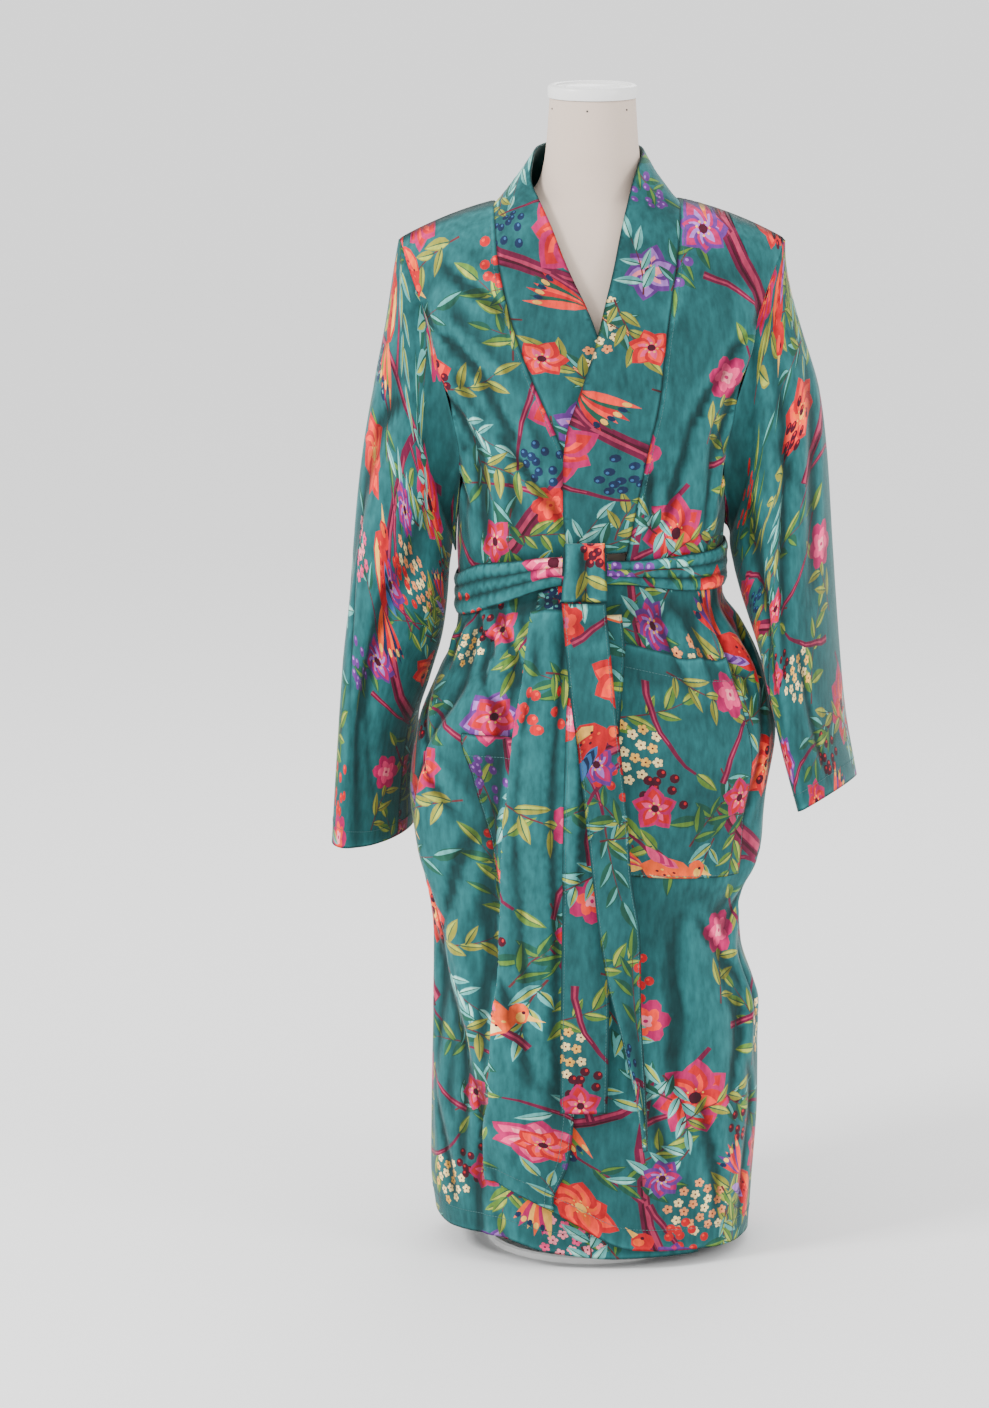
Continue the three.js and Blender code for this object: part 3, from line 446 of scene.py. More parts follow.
def robe_normal(angle, height):
    height = np.minimum(np.asarray(height, float), SHOULDER_TOP)
    across = robe(angle + 0.5, height) - robe(angle - 0.5, height)
    down = robe(angle, height - 1) - robe(angle, np.minimum(height + 1, SHOULDER_TOP))
    normal = unit(-np.cross(across, down))
    flat = np.stack([-across[..., 2], np.zeros_like(across[..., 0]), across[..., 0]], -1)
    flat = unit(flat * np.sign(across[..., :1]))
    share = ease(height, SHOULDER_TOP - 1.6, SHOULDER_TOP - 0.2)[..., None]
    return unit(normal * (1 - share) + flat * share)


def to_hem(points, hem):
    low = hem(points[..., 0])
    scale = (HEM_EASE - low) / (HEM_EASE - HEM)
    z = np.where(points[..., 2] < HEM_EASE, low + (points[..., 2] - HEM) * scale, points[..., 2])
    return np.concatenate([points[..., :2], z[..., None]], -1)


def panel_place(lift_of, hem, height_of=None):
    def place(u, v):
        angle = u / PATTERN_SCALE
        height = v if height_of is None else height_of(v, angle)
        lift = lift_of(angle, height) + crease_height(angle, height) * 0.6
        return to_hem(robe(angle, height) + robe_normal(angle, height) * lift[..., None], hem)
    return place


def linear(hexcode):
    values = [int(hexcode[i:i + 2], 16) / 255 for i in (0, 2, 4)]
    return tuple(v / 12.92 if v <= 0.04045 else ((v + 0.055) / 1.055) ** 2.4 for v in values)


# Print colours
INK = {name: linear(code) for name, code in {
    "ground": "1d5052", "bark": "5c1230", "bark_light": "962c4a", "stem": "542428", "leaf": "50702c",
    "leaf_light": "8f963c", "aqua": "4f938f", "aqua_light": "84b8ac", "deep": "1a4638", "moss": "77762c",
    "red": "b0141c", "red_light": "e03828", "magenta": "a01650", "pink": "d23c6c", "blush": "e07a88",
    "orange": "dc5020", "gold": "d8a044", "cream": "e2c688", "peach": "d8844e", "purple": "552a70",
    "lilac": "9060aa", "navy": "14233f", "blue": "2c5886", "wine": "3c0c1c"}.items()}
TILE = 620
rng = random.Random(11)
motifs = []


def put(ink, points):
    turns = sum(a[0] * b[1] - b[0] * a[1] for a, b in zip(points, points[1:] + points[:1]))
    motifs.append((ink, points if turns > 0 else points[::-1]))


def oval(x, y, rx, ry, turn=0.0, sides=9):
    c, s = math.cos(turn), math.sin(turn)
    out = []
    for k in range(sides):
        a = 2 * math.pi * k / sides
        px, py = rx * math.cos(a), ry * math.sin(a)
        out.append((x + px * c - py * s, y + px * s + py * c))
    return out


def blade(x, y, turn, length, width, bend=0.0, start=0.0, side=0):
    """A pointed leaf or petal from its foot; side 1 or -1 gives one half of it"""
    count = 5
    left, right = [], []
    for k in range(count + 1):
        t = start + (1 - start) * k / count
        w = width * math.sin(math.pi * min(1, t) ** 0.8) ** 0.9 * 0.5
        along = length * t
        off = bend * length * t * t
        left.append((along, off + (w if side >= 0 else 0)))
        right.append((along, off - (w if side <= 0 else 0)))
    shape = left + right[-2:0:-1]
    c, s = math.cos(turn), math.sin(turn)
    return [(x + px * c - py * s, y + px * s + py * c) for px, py in shape]


def strip(points, widths):
    left, right = [], []
    for i, (x, y) in enumerate(points):
        a = points[max(i - 1, 0)]
        b = points[min(i + 1, len(points) - 1)]
        d = math.hypot(b[0] - a[0], b[1] - a[1]) or 1
        nx, ny = -(b[1] - a[1]) / d, (b[0] - a[0]) / d
        w = widths[i] / 2
        left.append((x + nx * w, y + ny * w))
        right.append((x - nx * w, y - ny * w))
    return left + right[::-1]


def path(start, turn, length, bend, steps=9, wobble=0.0):
    points = [start]
    x, y = start
    for k in range(steps):
        turn += bend / steps + wobble * math.sin(k * 2.1)
        x += math.cos(turn) * length / steps
        y += math.sin(turn) * length / steps
        points.append((x, y))
    return points, turn


def leaf(x, y, turn, length, dark="leaf", light="leaf_light"):
    bend = rng.uniform(-0.16, 0.16)
    width = length * rng.uniform(0.3, 0.4)
    put(dark, blade(x, y, turn, length, width, bend))
    put(light, blade(x, y, turn, length * 0.94, width * 0.78, bend, 0.06, 1))
    rib = [(x + math.cos(turn) * length * t - math.sin(turn) * bend * length * t * t,
        y + math.sin(turn) * length * t + math.cos(turn) * bend * length * t * t) for t in (0, 0.3, 0.6, 0.86)]
    put("deep", strip(rib, [1.5, 1.2, 0.9, 0.5]))


LEAF_PAIRS = [("leaf", "leaf_light"), ("aqua", "aqua_light"), ("deep", "leaf"), ("moss", "leaf_light"),
    ("aqua", "leaf_light"), ("deep", "aqua")]


def spray(x, y, turn, length, count, pair):
    points, end = path((x, y), turn, length, rng.uniform(-0.9, 0.9))
    put("stem", strip(points, [2.2 - 0.16 * i for i in range(len(points))]))
    for k in range(count):
        i = 1 + int(k * (len(points) - 2) / count)
        side = 1 if k % 2 else -1
        px, py = points[i]
        leaf(px, py, end + side * rng.uniform(0.5, 0.95), rng.uniform(24, 36), *pair)
    leaf(*points[-1], end, rng.uniform(28, 38), *pair)


def flower(x, y, size, petals, dark, mid, light, centre):
    first = rng.uniform(0, 6.28)
    for k in range(petals):
        a = first + 2 * math.pi * k / petals
        length = size * rng.uniform(0.88, 1.08)
        put(dark, blade(x, y, a, length, length * 0.86, rng.uniform(-0.1, 0.1)))
        put(mid, blade(x, y, a + 0.05, length * 0.86, length * 0.6, 0.04))
        put(light, blade(x, y, a - 0.04, length * 0.62, length * 0.3, -0.05, 0.1))
    put(centre, oval(x, y, size * 0.17, size * 0.17))
    for k in range(7):
        a = first + 0.9 * k
        put("gold", oval(x + size * 0.24 * math.cos(a), y + size * 0.24 * math.sin(a), 1.3, 1.3, 0, 6))


def rose(x, y, size, dark, mid, light):
    for k in range(6):
        a = 1.05 * k
        put(dark, oval(x + size * 0.42 * math.cos(a), y + size * 0.42 * math.sin(a), size * 0.5, size * 0.36, a))
    for k in range(5):
        a = 1.26 * k + 0.5
        put(mid, oval(x + size * 0.27 * math.cos(a), y + size * 0.27 * math.sin(a), size * 0.36, size * 0.22, a + 0.6))
    for k in range(4):
        a = 1.57 * k + 0.2
        put(light, oval(x + size * 0.12 * math.cos(a), y + size * 0.12 * math.sin(a), size * 0.2, size * 0.1, a + 1))
    put(dark, oval(x, y, size * 0.09, size * 0.07))


def berries(x, y, turn, count, dark, light):
    for k in range(count):
        t = k / count
        r = 26 * math.sqrt(t)
        a = turn + k * 2.4
        bx = x + math.cos(turn) * 10 * t + r * math.cos(a)
        by = y + math.sin(turn) * 26 * t + r * math.sin(a)
        put(dark, oval(bx, by, 5.2, 5.2, 0, 9))
        put(light, oval(bx - 1.5, by + 1.6, 1.9, 1.7, 0, 6))


def blossoms(x, y, spread, count, ink, light):
    for k in range(count):
        a = k * 2.4
        r = spread * math.sqrt((k + 0.5) / count)
        bx, by = x + r * math.cos(a), y + r * 0.8 * math.sin(a)
        for p in range(5):
            b = 1.257 * p + k
            put(ink if k % 3 else light, oval(bx + 3 * math.cos(b), by + 3 * math.sin(b), 2.7, 2.2, b, 6))
        put("wine", oval(bx, by, 1.2, 1.2, 0, 5))


def songbird(x, y, turn, size, flip, coat, coat_light, wing, wing_light, belly):
    c, s = math.cos(turn), math.sin(turn)

    def at(px, py, points=None):
        px, py = px * size, py * size * flip
        return x + px * c - py * s, y + px * s + py * c

    def shape(points):
        return [at(px, py) for px, py in points]

    for k in range(6):
        a = math.pi + 0.34 * (k - 2.5) * 0.42
        foot = at(-24, -2)
        out = turn + (a if flip > 0 else -a)
        ink = (coat, wing, coat_light)[k % 3]
        put(ink, blade(*foot, out, size * (48 + 4 * (k % 2)), size * 8.5))
        tip = (foot[0] + math.cos(out) * size * 40, foot[1] + math.sin(out) * size * 40)
        put("gold" if k % 2 else "navy", oval(*tip, size * 4.2, size * 2.2, out, 8))
    put(coat, shape([(-30, 0), (-20, 10), (-6, 15), (10, 15), (20, 10), (26, 2), (22, -8), (10, -15), (-6, -15),
        (-20, -9)]))
    put(belly, shape([(-18, -7), (-4, -13), (10, -13), (19, -7), (14, -3), (0, -5)]))
    put(coat, oval(*at(26, 12), size * 10, size * 9))
    put(coat_light, oval(*at(28, 9), size * 5, size * 4))
    put("gold", shape([(34, 14), (46, 10), (34, 8)]))
    put("wine", oval(*at(29, 14), size * 1.7, size * 1.7, 0, 7))
    for k in range(5):
        foot = at(8 - 5 * k, 8)
        a = math.pi - 0.18 - 0.1 * k
        out = turn + (a if flip > 0 else -a)
        put(wing if k % 2 else wing_light, blade(*foot, out, size * (34 - 3 * k), size * 9))
    for k in range(8):
        px, py = -12 + 4.2 * k, -1 + 3 * math.sin(k * 1.9)
        put(coat_light if k % 2 else "wine", oval(*at(px, py), size * 1.9, size * 1.1, turn, 6))


# Where things lie in the repeat
limbs = [((20, 40), 0.5, 420, 1.1), ((560, 150), 2.5, 430, -1.2), ((120, 430), -0.2, 400, 0.9)]
for start, turn, length, bend in limbs:
    points, end = path(start, turn, length, bend, 14, 0.16)
    widths = [24 - 1.35 * i for i in range(len(points))]
    put("bark", strip(points, widths))
    put("bark_light", strip([(x + 1.5, y + 3) for x, y in points[:12]], [w * 0.34 for w in widths[:12]]))
    put("wine", strip([(x - 1, y - 5) for x, y in points[:11]], [w * 0.16 for w in widths[:11]]))
    for k in (3, 6, 9, 12):
        side = 1 if k % 2 else -1
        twig, out = path(points[k], end + side * 0.9, 80, side * 0.5, 6)
        put("bark", strip(twig, [9, 7.5, 6, 5, 4, 3, 2]))
        put("bark_light", strip(twig[:5], [2.6, 2.2, 1.8, 1.4, 1]))
        spray(*twig[-1], out, rng.uniform(60, 84), 5, LEAF_PAIRS[(k + len(motifs)) % 6])
for k, (x, y) in enumerate([(60, 250), (230, 330), (400, 80), (520, 330), (330, 560), (70, 560), (560, 520),
        (190, 130), (470, 210), (20, 390), (300, 230), (600, 30), (420, 430), (250, 470), (140, 330), (500, 600)]):
    spray(x, y, rng.uniform(0, 6.28), rng.uniform(70, 100), 6, LEAF_PAIRS[k % 6])
for x, y, size, kind in [(110, 200, 40, 0), (330, 150, 34, 1), (560, 250, 38, 2), (470, 500, 42, 0), (180, 400, 34, 3),
        (360, 350, 36, 2), (40, 480, 34, 1), (250, 30, 36, 3), (590, 420, 30, 0)]:
    tones = (("magenta", "red", "red_light", "wine"), ("purple", "lilac", "blush", "wine"),
        ("red", "red_light", "orange", "gold"), ("magenta", "pink", "blush", "wine"))[kind]
    flower(x, y, size, 6 if kind % 2 else 7, *tones)
for x, y, size, tones in [(300, 290, 27, ("red", "red_light", "pink")), (520, 60, 30, ("magenta", "pink", "blush")),
        (90, 90, 26, ("red", "red_light", "orange")), (420, 590, 28, ("magenta", "red_light", "blush")),
        (220, 560, 26, ("red", "pink", "blush"))]:
    rose(x, y, size, *tones)
for x, y, turn, count, dark, light in [(160, 280, 0.4, 15, "navy", "blue"), (430, 150, 1.4, 13, "purple", "lilac"),
        (540, 450, 2.2, 15, "wine", "red"), (330, 430, 0.2, 13, "navy", "aqua"), (60, 340, 1.1, 12, "red", "red_light")]:
    berries(x, y, turn, count, dark, light)
for x, y, spread, count, ink, light in [(260, 190, 36, 18, "cream", "peach"), (480, 370, 40, 22, "peach", "cream"),
        (120, 520, 34, 16, "blush", "pink"), (590, 560, 34, 16, "cream", "gold"), (380, 260, 28, 12, "pink", "blush")]:
    blossoms(x, y, spread, count, ink, light)
for k in range(34):
    x = (k * 233.7 + 40) % TILE
    y = (k * 151.3 + 90) % TILE
    spray(x, y, rng.uniform(0, 6.28), rng.uniform(50, 80), 5, LEAF_PAIRS[(k * 5 + 2) % 6])
for k in range(12):
    x = (k * 191.9 + 130) % TILE
    y = (k * 277.1 + 20) % TILE
    twig, out = path((x, y), rng.uniform(0, 6.28), 110, rng.uniform(-1, 1), 8, 0.2)
    put("bark", strip(twig, [8.5 - 0.7 * i for i in range(len(twig))]))
    put("bark_light", strip(twig[:6], [2.6, 2.3, 2, 1.7, 1.4, 1.0]))
    leaf(*twig[-1], out, 32, "leaf", "leaf_light")
for k in range(8):
    x = (k * 167.3 + 75) % TILE
    y = (k * 239.9 + 140) % TILE
    berries(x, y, k, 11, ("navy", "purple", "red", "wine")[k % 4], ("blue", "lilac", "red_light", "red")[k % 4])
for k in range(9):
    x = (k * 211.3 + 15) % TILE
    y = (k * 173.9 + 60) % TILE
    tones = (("magenta", "red", "pink", "wine"), ("red", "red_light", "pink", "wine"), ("purple", "magenta", "lilac", "wine"))
    flower(x, y, rng.uniform(22, 30), 5 + k % 3, *tones[k % 3])
songbird(200, 215, 0.9, 1.15, 1, "red", "red_light", "deep", "leaf", "orange")
songbird(430, 300, 2.3, 1.2, -1, "red", "orange", "navy", "blue", "gold")
songbird(100, 600, 1.3, 1.1, 1, "orange", "gold", "magenta", "pink", "cream")
songbird(560, 380, -0.8, 1.05, -1, "red", "red_light", "purple", "lilac", "orange")
songbird(330, 500, 1.8, 1.15, 1, "red", "orange", "leaf", "leaf_light", "gold")
motif_boxes = [(min(p[0] for p in pts), max(p[0] for p in pts), min(p[1] for p in pts), max(p[1] for p in pts))
    for ink, pts in motifs]

velvet, tree, shader = new_material("printed velvet", (0.05, 0.18, 0.17, 1), 0.82, 0.2)
shader.inputs["Sheen Weight"].default_value = 0.3
shader.inputs["Sheen Roughness"].default_value = 0.3
shader.inputs["Sheen Tint"].default_value = (0.72, 0.92, 0.9, 1)
ink_node = tree.nodes.new("ShaderNodeAttribute")
ink_node.attribute_name = "print"
nap = object_noise(tree, 22, 4)
brushed = object_noise(tree, 160, 3, (1, 1, 0.35))
fine = object_noise(tree, 1400, 2)
both = tree.nodes.new("ShaderNodeMath")
both.operation = "MULTIPLY_ADD"
tree.links.new(nap.outputs["Fac"], both.inputs[0])
both.inputs[1].default_value = 0.55
tree.links.new(brushed.outputs["Fac"], both.inputs[2])
tone = tree.nodes.new("ShaderNodeMapRange")
tone.inputs["From Min"].default_value = 0.45
tone.inputs["From Max"].default_value = 1.1
tone.inputs["To Min"].default_value = 0.55
tone.inputs["To Max"].default_value = 1.3
tree.links.new(both.outputs[0], tone.inputs["Value"])
shade = tree.nodes.new("ShaderNodeMix")
shade.data_type = "RGBA"
shade.blend_type = "MULTIPLY"
shade.inputs["Factor"].default_value = 1
tree.links.new(ink_node.outputs["Color"], shade.inputs["A"])
tree.links.new(tone.outputs["Result"], shade.inputs["B"])
tree.links.new(shade.outputs["Result"], shader.inputs["Base Color"])
add_bump(tree, shader, fine.outputs["Fac"], 0.0004, 0.5)


def inside_points(outline, step):
    xs = [p[0] for p in outline]
    ys = [p[1] for p in outline]
    grid = []
    for i, x in enumerate(np.arange(min(xs) + step / 2, max(xs), step)):
        for y in np.arange(min(ys) + (step / 2 if i % 2 else step), max(ys), step):
            grid.append((x, y))
    return grid


def triangulate(points, faces, boxes=((-9999, 9999, -9999, 9999),)):
    """Triangles inside face 0, each with the last face that covers it"""
    result = delaunay_2d_cdt([Vector(p) for p in points], [], faces, 0, 1e-4, True)
    flat = [(v[0], v[1]) for v in result[0]]
    tris = []
    for t, orig in zip(result[2], result[5]):
        if 0 not in orig:
            continue
        x = sum(flat[i][0] for i in t) / 3
        y = sum(flat[i][1] for i in t) / 3
        top = 0
        for face in orig:
            box = boxes[face]
            if face > top and box[0] <= x <= box[1] and box[2] <= y <= box[3]:
                top = face
        tris.append((t, top))
    return flat, tris


def edge_distance(flat, outline):
    """How far each point lies inside the outline, in pattern millimetres"""
    points = np.array(flat)
    start = np.array(outline)
    reach = np.roll(start, -1, axis=0) - start
    squared = np.maximum((reach ** 2).sum(1), 1e-9)
    out = np.full(len(points), 99.0)
    for k in range(len(start)):
        off = points - start[k]
        t = np.clip(off @ reach[k] / squared[k], 0, 1)
        out = np.minimum(out, np.linalg.norm(off - t[:, None] * reach[k], axis=1))
    return out


def edge_rows(outline, depths=(1.2, 3.0, 6.0)):
    """Points in rows just inside the outline, so that the painted shade and painted highlight along the edge can be
    drawn
    """
    points = np.array(outline)
    along = unit(np.roll(points, -1, axis=0) - np.roll(points, 1, axis=0))
    inward = np.stack([-along[:, 1], along[:, 0]], 1)
    area = (points[:, 0] * np.roll(points[:, 1], -1) - np.roll(points[:, 0], -1) * points[:, 1]).sum()
    return [tuple(p) for depth in depths for p in points + inward * depth * (1 if area > 0 else -1)]


def painted_fold_and_edge_shade(place, flat, outline, normal, base):
    """Painted light and shade in the colour: ridges painted lighter and hollows painted darker; at seams painted
    shade, with a pale roll of painted highlight beside them
    """
    u = np.array([p[0] for p in flat])
    v = np.array([p[1] for p in flat])
    reach = min(14.0, 0.12 * min(u.max() - u.min(), v.max() - v.min()))
    around = (place(u + reach, v) + place(u - reach, v)) / 2
    bulge = ((base - around) * normal).sum(1)
    around = (place(u, v + reach) + place(u, v - reach)) / 2
    bulge = (bulge + ((base - around) * normal).sum(1) * 0.8) * (14.0 / reach) ** 1.3
    # Painted highlight on fold ridges and painted shade in fold hollows
    tone = 1 + np.clip((bulge - 0.5) * RIDGE_PAINTED_SHADE, -0.62, 0.55)
    far = edge_distance(flat, outline)
    # Painted shade right at the piece's edge, and a painted highlight a few millimetres inside it
    seam = np.interp(far, [0, 1.2, 3.0, 6.0, 11.0], [0.3, 0.68, 1.38, 1.16, 1.0])
    return tone * seam


def surface(place, points, flip):
    u = np.array([p[0] for p in points])
    v = np.array([p[1] for p in points])
    step = 1.0
    here = place(u, v)
    du = place(u + step, v) - place(u - step, v)
    dv = place(u, v + step) - place(u, v - step)
    normal = unit(np.cross(du, dv)) * flip
    return here, normal


def boundary_loop(tris):
    after = {}
    for t, ink in tris:
        for a, b in ((t[0], t[1]), (t[1], t[2]), (t[2], t[0])):
            after[(a, b)] = True
    step = {a: b for a, b in after if (b, a) not in after}
    start = min(step)
    loop = [start]
    while step[loop[-1]] != start:
        loop.append(step[loop[-1]])
    return loop


pieces = {}
# How strongly fold ridges get painted highlight and hollows get painted shade
RIDGE_PAINTED_SHADE = 0.42


def velvet_piece(name, outline, place, thick, cut_from, flip=1, step=7.0, tone_of=None):
    """A closed sheet of printed velvet: its face is cut from the repeat, its back is the unprinted ground colour
    darkened as painted shade
    """
    us = [p[0] for p in outline]
    vs = [p[1] for p in outline]
    points = list(outline)
    faces = [list(range(len(outline)))]
    inks = [INK["ground"]]
    boxes = [(-9999, 9999, -9999, 9999)]
    low_u, high_u, low_v, high_v = min(us), max(us), min(vs), max(vs)
    for ink, shape_box, shape in ((m[0], b, m[1]) for m, b in zip(motifs, motif_boxes)):
        for i in range(-3, 4):
            for j in range(-3, 4):
                x = cut_from[0] + i * TILE
                y = cut_from[1] + j * TILE
                if shape_box[1] + x < low_u or shape_box[0] + x > high_u:
                    continue
                if shape_box[3] + y < low_v or shape_box[2] + y > high_v:
                    continue
                first = len(points)
                points += [(px + x, py + y) for px, py in shape]
                faces.append(list(range(first, len(points))))
                inks.append(INK[ink])
                boxes.append((shape_box[0] + x, shape_box[1] + x, shape_box[2] + y, shape_box[3] + y))
    points += inside_points(outline, step) + edge_rows(outline)
    flat, tris = triangulate(points, faces, boxes)
    used = sorted({i for t, ink in tris for i in t})
    number = {old: new for new, old in enumerate(used)}
    tris = [(tuple(number[i] for i in t), ink) for t, ink in tris]
    flat = [flat[i] for i in used]
    loop = boundary_loop(tris)
    rim = [flat[i] for i in loop]
    back_flat, back_tris = triangulate(rim + inside_points(outline, step * 2.2), [list(range(len(rim)))])
    base, normal = surface(place, flat, flip)
    back_base, back_normal = surface(place, back_flat, flip)
    front = base + normal * thick
    # Painted light and shade of the folds and edges, for the front face
    tone = painted_fold_and_edge_shade(place, flat, outline, normal, base)
    count = len(flat)
    verts = np.concatenate([front, back_base]) * MM
    polys = [t if flip > 0 else t[::-1] for t, ink in tris]
    colors = [inks[ink] for t, ink in tris]
    # Painted shade: the back, seen only inside the robe, is the unprinted ground colour darkened to 0.55
    back_painted_shade_colour = tuple(v * 0.55 for v in INK["ground"])
    polys += [tuple(i + count for i in (t[::-1] if flip > 0 else t)) for t, ink in back_tris]
    colors += [back_painted_shade_colour] * len(back_tris)
    for k in range(len(loop)):
        a, b = loop[k], loop[(k + 1) % len(loop)]
        c, d = count + (k + 1) % len(loop), count + k
        polys.append((a, d, c, b) if flip > 0 else (a, b, c, d))
        colors.append(INK["ground"])
    piece = add_object(name, verts, polys, velvet)
    mesh = piece.data
    attribute = mesh.color_attributes.new("print", "FLOAT_COLOR", "CORNER")
    sizes = np.array([len(p) for p in polys])
    values = np.repeat(np.array([(*c, 1) for c in colors]), sizes, axis=0)
    corners = np.array([i for p in polys for i in p])
    # The print colours of the front are multiplied by the painted shade and painted highlight; the back keeps its
    # colour
    shading = np.concatenate([tone, np.ones(len(back_flat))])[corners]
    values[:, :3] *= shading[:, None]
    attribute.data.foreach_set("color", values.ravel())
    normals = np.concatenate([normal, -back_normal])
    mesh.normals_split_custom_set_from_vertices([tuple(n) for n in normals])
    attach(piece, "root")
    pieces[name] = piece
    return piece


def edge_line(start, end, count):
    return [(start[0] + (end[0] - start[0]) * k / count, start[1] + (end[1] - start[1]) * k / count)
        for k in range(count)]


arm_gap = curve([(1162, 0.4), (1157, 7), (1146, 12), (1110, 19), (1060, 23), (980, 25), (900, 22), (850, 15),
    (820, 6), (806, 0.4)])
band_seam = {
    "left": curve([(1162, 92), (1140, 91.5), (1103, 88), (1057, 80), (1014, 74), (959, 68), (892, 54), (798, 37),
        (766, 31)]),
    "right": curve([(1162, -104), (1120, -102), (1048, -88), (986, -68), (913, -37), (798, 8), (766, 16)])}
EDGE_GAP = 0.14
UNDER_EDGE = 42
NECK_DIP = 22
NECK_HALF = 98
NECK_CENTRE = -6


def seam_angle(side, height):
    x = band_seam[side](height)
    wide = np.where(x < 0, body["right"](height), body["left"](height))
    return np.degrees(np.arcsin(x / wide))


def side_gap(height):
    return np.where(height > UNDERARM - 1, arm_gap(height), EDGE_GAP)


def back_top(angle):
    x = body["left"](SHOULDER_TOP) * np.sin(np.radians(angle))
    share = np.clip(np.abs(x - NECK_CENTRE) / NECK_HALF, 0, 1)
    return SHOULDER_TOP - NECK_DIP * np.sqrt(1 - share ** 2.5)


neck_left = 180 - float(seam_angle("left", SHOULDER_TOP))
neck_right = 180 - float(seam_angle("right", SHOULDER_TOP))
hem_back = curve([(-180, 44), (-120, 24), (0, 13), (180, 14)])
edge_heights = np.concatenate([np.linspace(SHOULDER_TOP, 1150, 5), np.arange(1144, HEM, -8), [HEM]])


def outline_of(low_angle, high_angle, top=None):
    """Outline in pattern sizes, anticlockwise: down the low edge, along the hem, up the high edge, over the top"""
    low = [(float(low_angle(h)) * PATTERN_SCALE, float(h)) for h in edge_heights]
    high = [(float(high_angle(h)) * PATTERN_SCALE, float(h)) for h in edge_heights]
    low_end, high_end = low[-1][0], high[-1][0]
    hem = [(u, float(HEM)) for u in np.linspace(low_end, high_end, int((high_end - low_end) / 8) + 2)[1:-1]]
    over = [(u, float(SHOULDER_TOP)) for u in np.linspace(high[0][0], low[0][0], int((high[0][0] - low[0][0]) / 7) + 2)[1:-1]]
    points = low + hem + high[::-1] + over
    return points if top is None else [(u, float(v if v < SHOULDER_TOP - 0.1 else top(u / PATTERN_SCALE))) for u, v in points]


def back_height(height, angle):
    low = 1088
    return np.where(height <= low, height, low + (height - low) * (back_top(angle) - low) / (SHOULDER_TOP - low))


back_place = panel_place(lambda a, h: np.zeros_like(a), hem_back, back_height)
back = velvet_piece("back_velvet",
    outline_of(lambda h: 90 + side_gap(h), lambda h: 270 - side_gap(h)), back_place, CLOTH, (60, 20), 1, 10.0)
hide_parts("back")


# The left front laps over the right one; below the belt its edge band is turned back over it.
# It is cut in one from shoulder to hem and sewn to the back at the shoulder and the side.
hem_left = curve([(-101, 98), (-30, 62), (43, 24), (119, 18), (180, 14)])


def left_lift(angle, height):
    return TOP_LAYER * (1 - ease(angle, 48, 76)) * (1 - ease(height, 1040, 1120))


def left_inner(height):
    above = seam_angle("left", height)
    return np.where(height > WAIST, above, above + (turn_angle(height) - above) * ease(WAIST - height, 0, 22))


front_left_place = panel_place(left_lift, hem_left)
front_left = velvet_piece("front_left_velvet",
    outline_of(left_inner, lambda h: 90 - side_gap(h)), front_left_place, CLOTH, (250, 310))
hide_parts("front_left")


# The right front lies under the left one below the chest, and its ridge hangs from the belt.
# Its low hem and side show at the wearer's right; its free edge is hidden under the left front.
hem_right = curve([(-180, 44), (-150, 32), (-99, 34), (-51, 21), (33, 12), (120, 12)])


def right_inner(height):
    above = seam_angle("right", height)
    return np.where(height > WAIST, above, above + (UNDER_EDGE - above) * ease(WAIST - height, 0, 40))


front_right_place = panel_place(lambda a, h: np.zeros_like(a), hem_right)
front_right = velvet_piece("front_right_velvet",
    outline_of(lambda h: -90 + side_gap(h), right_inner), front_right_place, CLOTH, (480, 130))
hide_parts("front_right")


# The sleeves: wide flat tubes set in deep armholes, hanging empty, flattened and leaning at the cuff.
# Each is one piece of velvet with its seam under the arm; its head follows the armhole's own edge.
sleeve_names = "along outer_x outer_z inner_x inner_z depth lean"
sleeve_tables = {
    "right": curves(sleeve_names, [
        (0, 205, 1110, 154, 804, 50, 0), (0.08, 211, 1080, 152, 782, 64, 0.05), (0.2, 219, 1028, 155, 752, 76, 0.2),
        (0.32, 232, 964, 157, 716, 82, 0.35), (0.45, 246, 888, 161, 676, 86, 0.5),
        (0.6, 258, 785, 174, 622, 87, 0.65), (0.75, 267, 678, 188, 570, 87, 0.75),
        (0.88, 274, 572, 192, 514, 86, 0.8), (1, 280, 468, 194, 454, 85, 0.83)]),
    "left": curves(sleeve_names, [
        (0, 204, 1110, 154, 804, 50, 0), (0.08, 206, 1070, 152, 784, 64, 0.05), (0.2, 226, 1008, 156, 758, 74, 0.2),
        (0.32, 246, 944, 163, 728, 80, 0.35), (0.45, 256, 876, 171, 700, 83, 0.5),
        (0.6, 264, 780, 182, 662, 84, 0.65), (0.75, 272, 684, 192, 616, 84, 0.75),
        (0.88, 281, 592, 206, 560, 82, 0.82), (1, 295, 512, 225, 492, 80, 0.85)])}
LENS = 1.12
# Creases as place round the tube, its shift, from and to along the tube, depth and half width
sleeve_creases = {
    "right": [(60, -25, 0.05, 0.75, 6, 22), (120, -20, 0.1, 0.95, 5, 20), (95, 30, 0.35, 1.05, 5, 18),
        (240, 20, 0.1, 0.9, 6, 22), (300, -15, 0.2, 1.05, 5, 20), (40, 50, 0.45, 0.8, 2.5, 9),
        (75, -40, 0.15, 0.4, 2.5, 9), (110, 30, 0.6, 0.95, 2, 8), (265, 40, 0.4, 0.8, 2.5, 9)],
    "left": [(55, 25, 0.05, 0.8, 7, 20), (125, -25, 0.05, 0.9, 6, 20), (20, 10, 0.2, 0.7, 5, 18),
        (240, 20, 0.1, 0.9, 6, 22), (300, -15, 0.3, 1.05, 5, 20), (80, -40, 0.2, 0.5, 2.5, 9),
        (100, 40, 0.5, 0.85, 2.5, 9), (60, -30, 0.7, 1.0, 2, 8), (270, -40, 0.3, 0.7, 2.5, 9)]}
SLEEVE_LONG = 640
SLEEVE_ROUND = 1.5


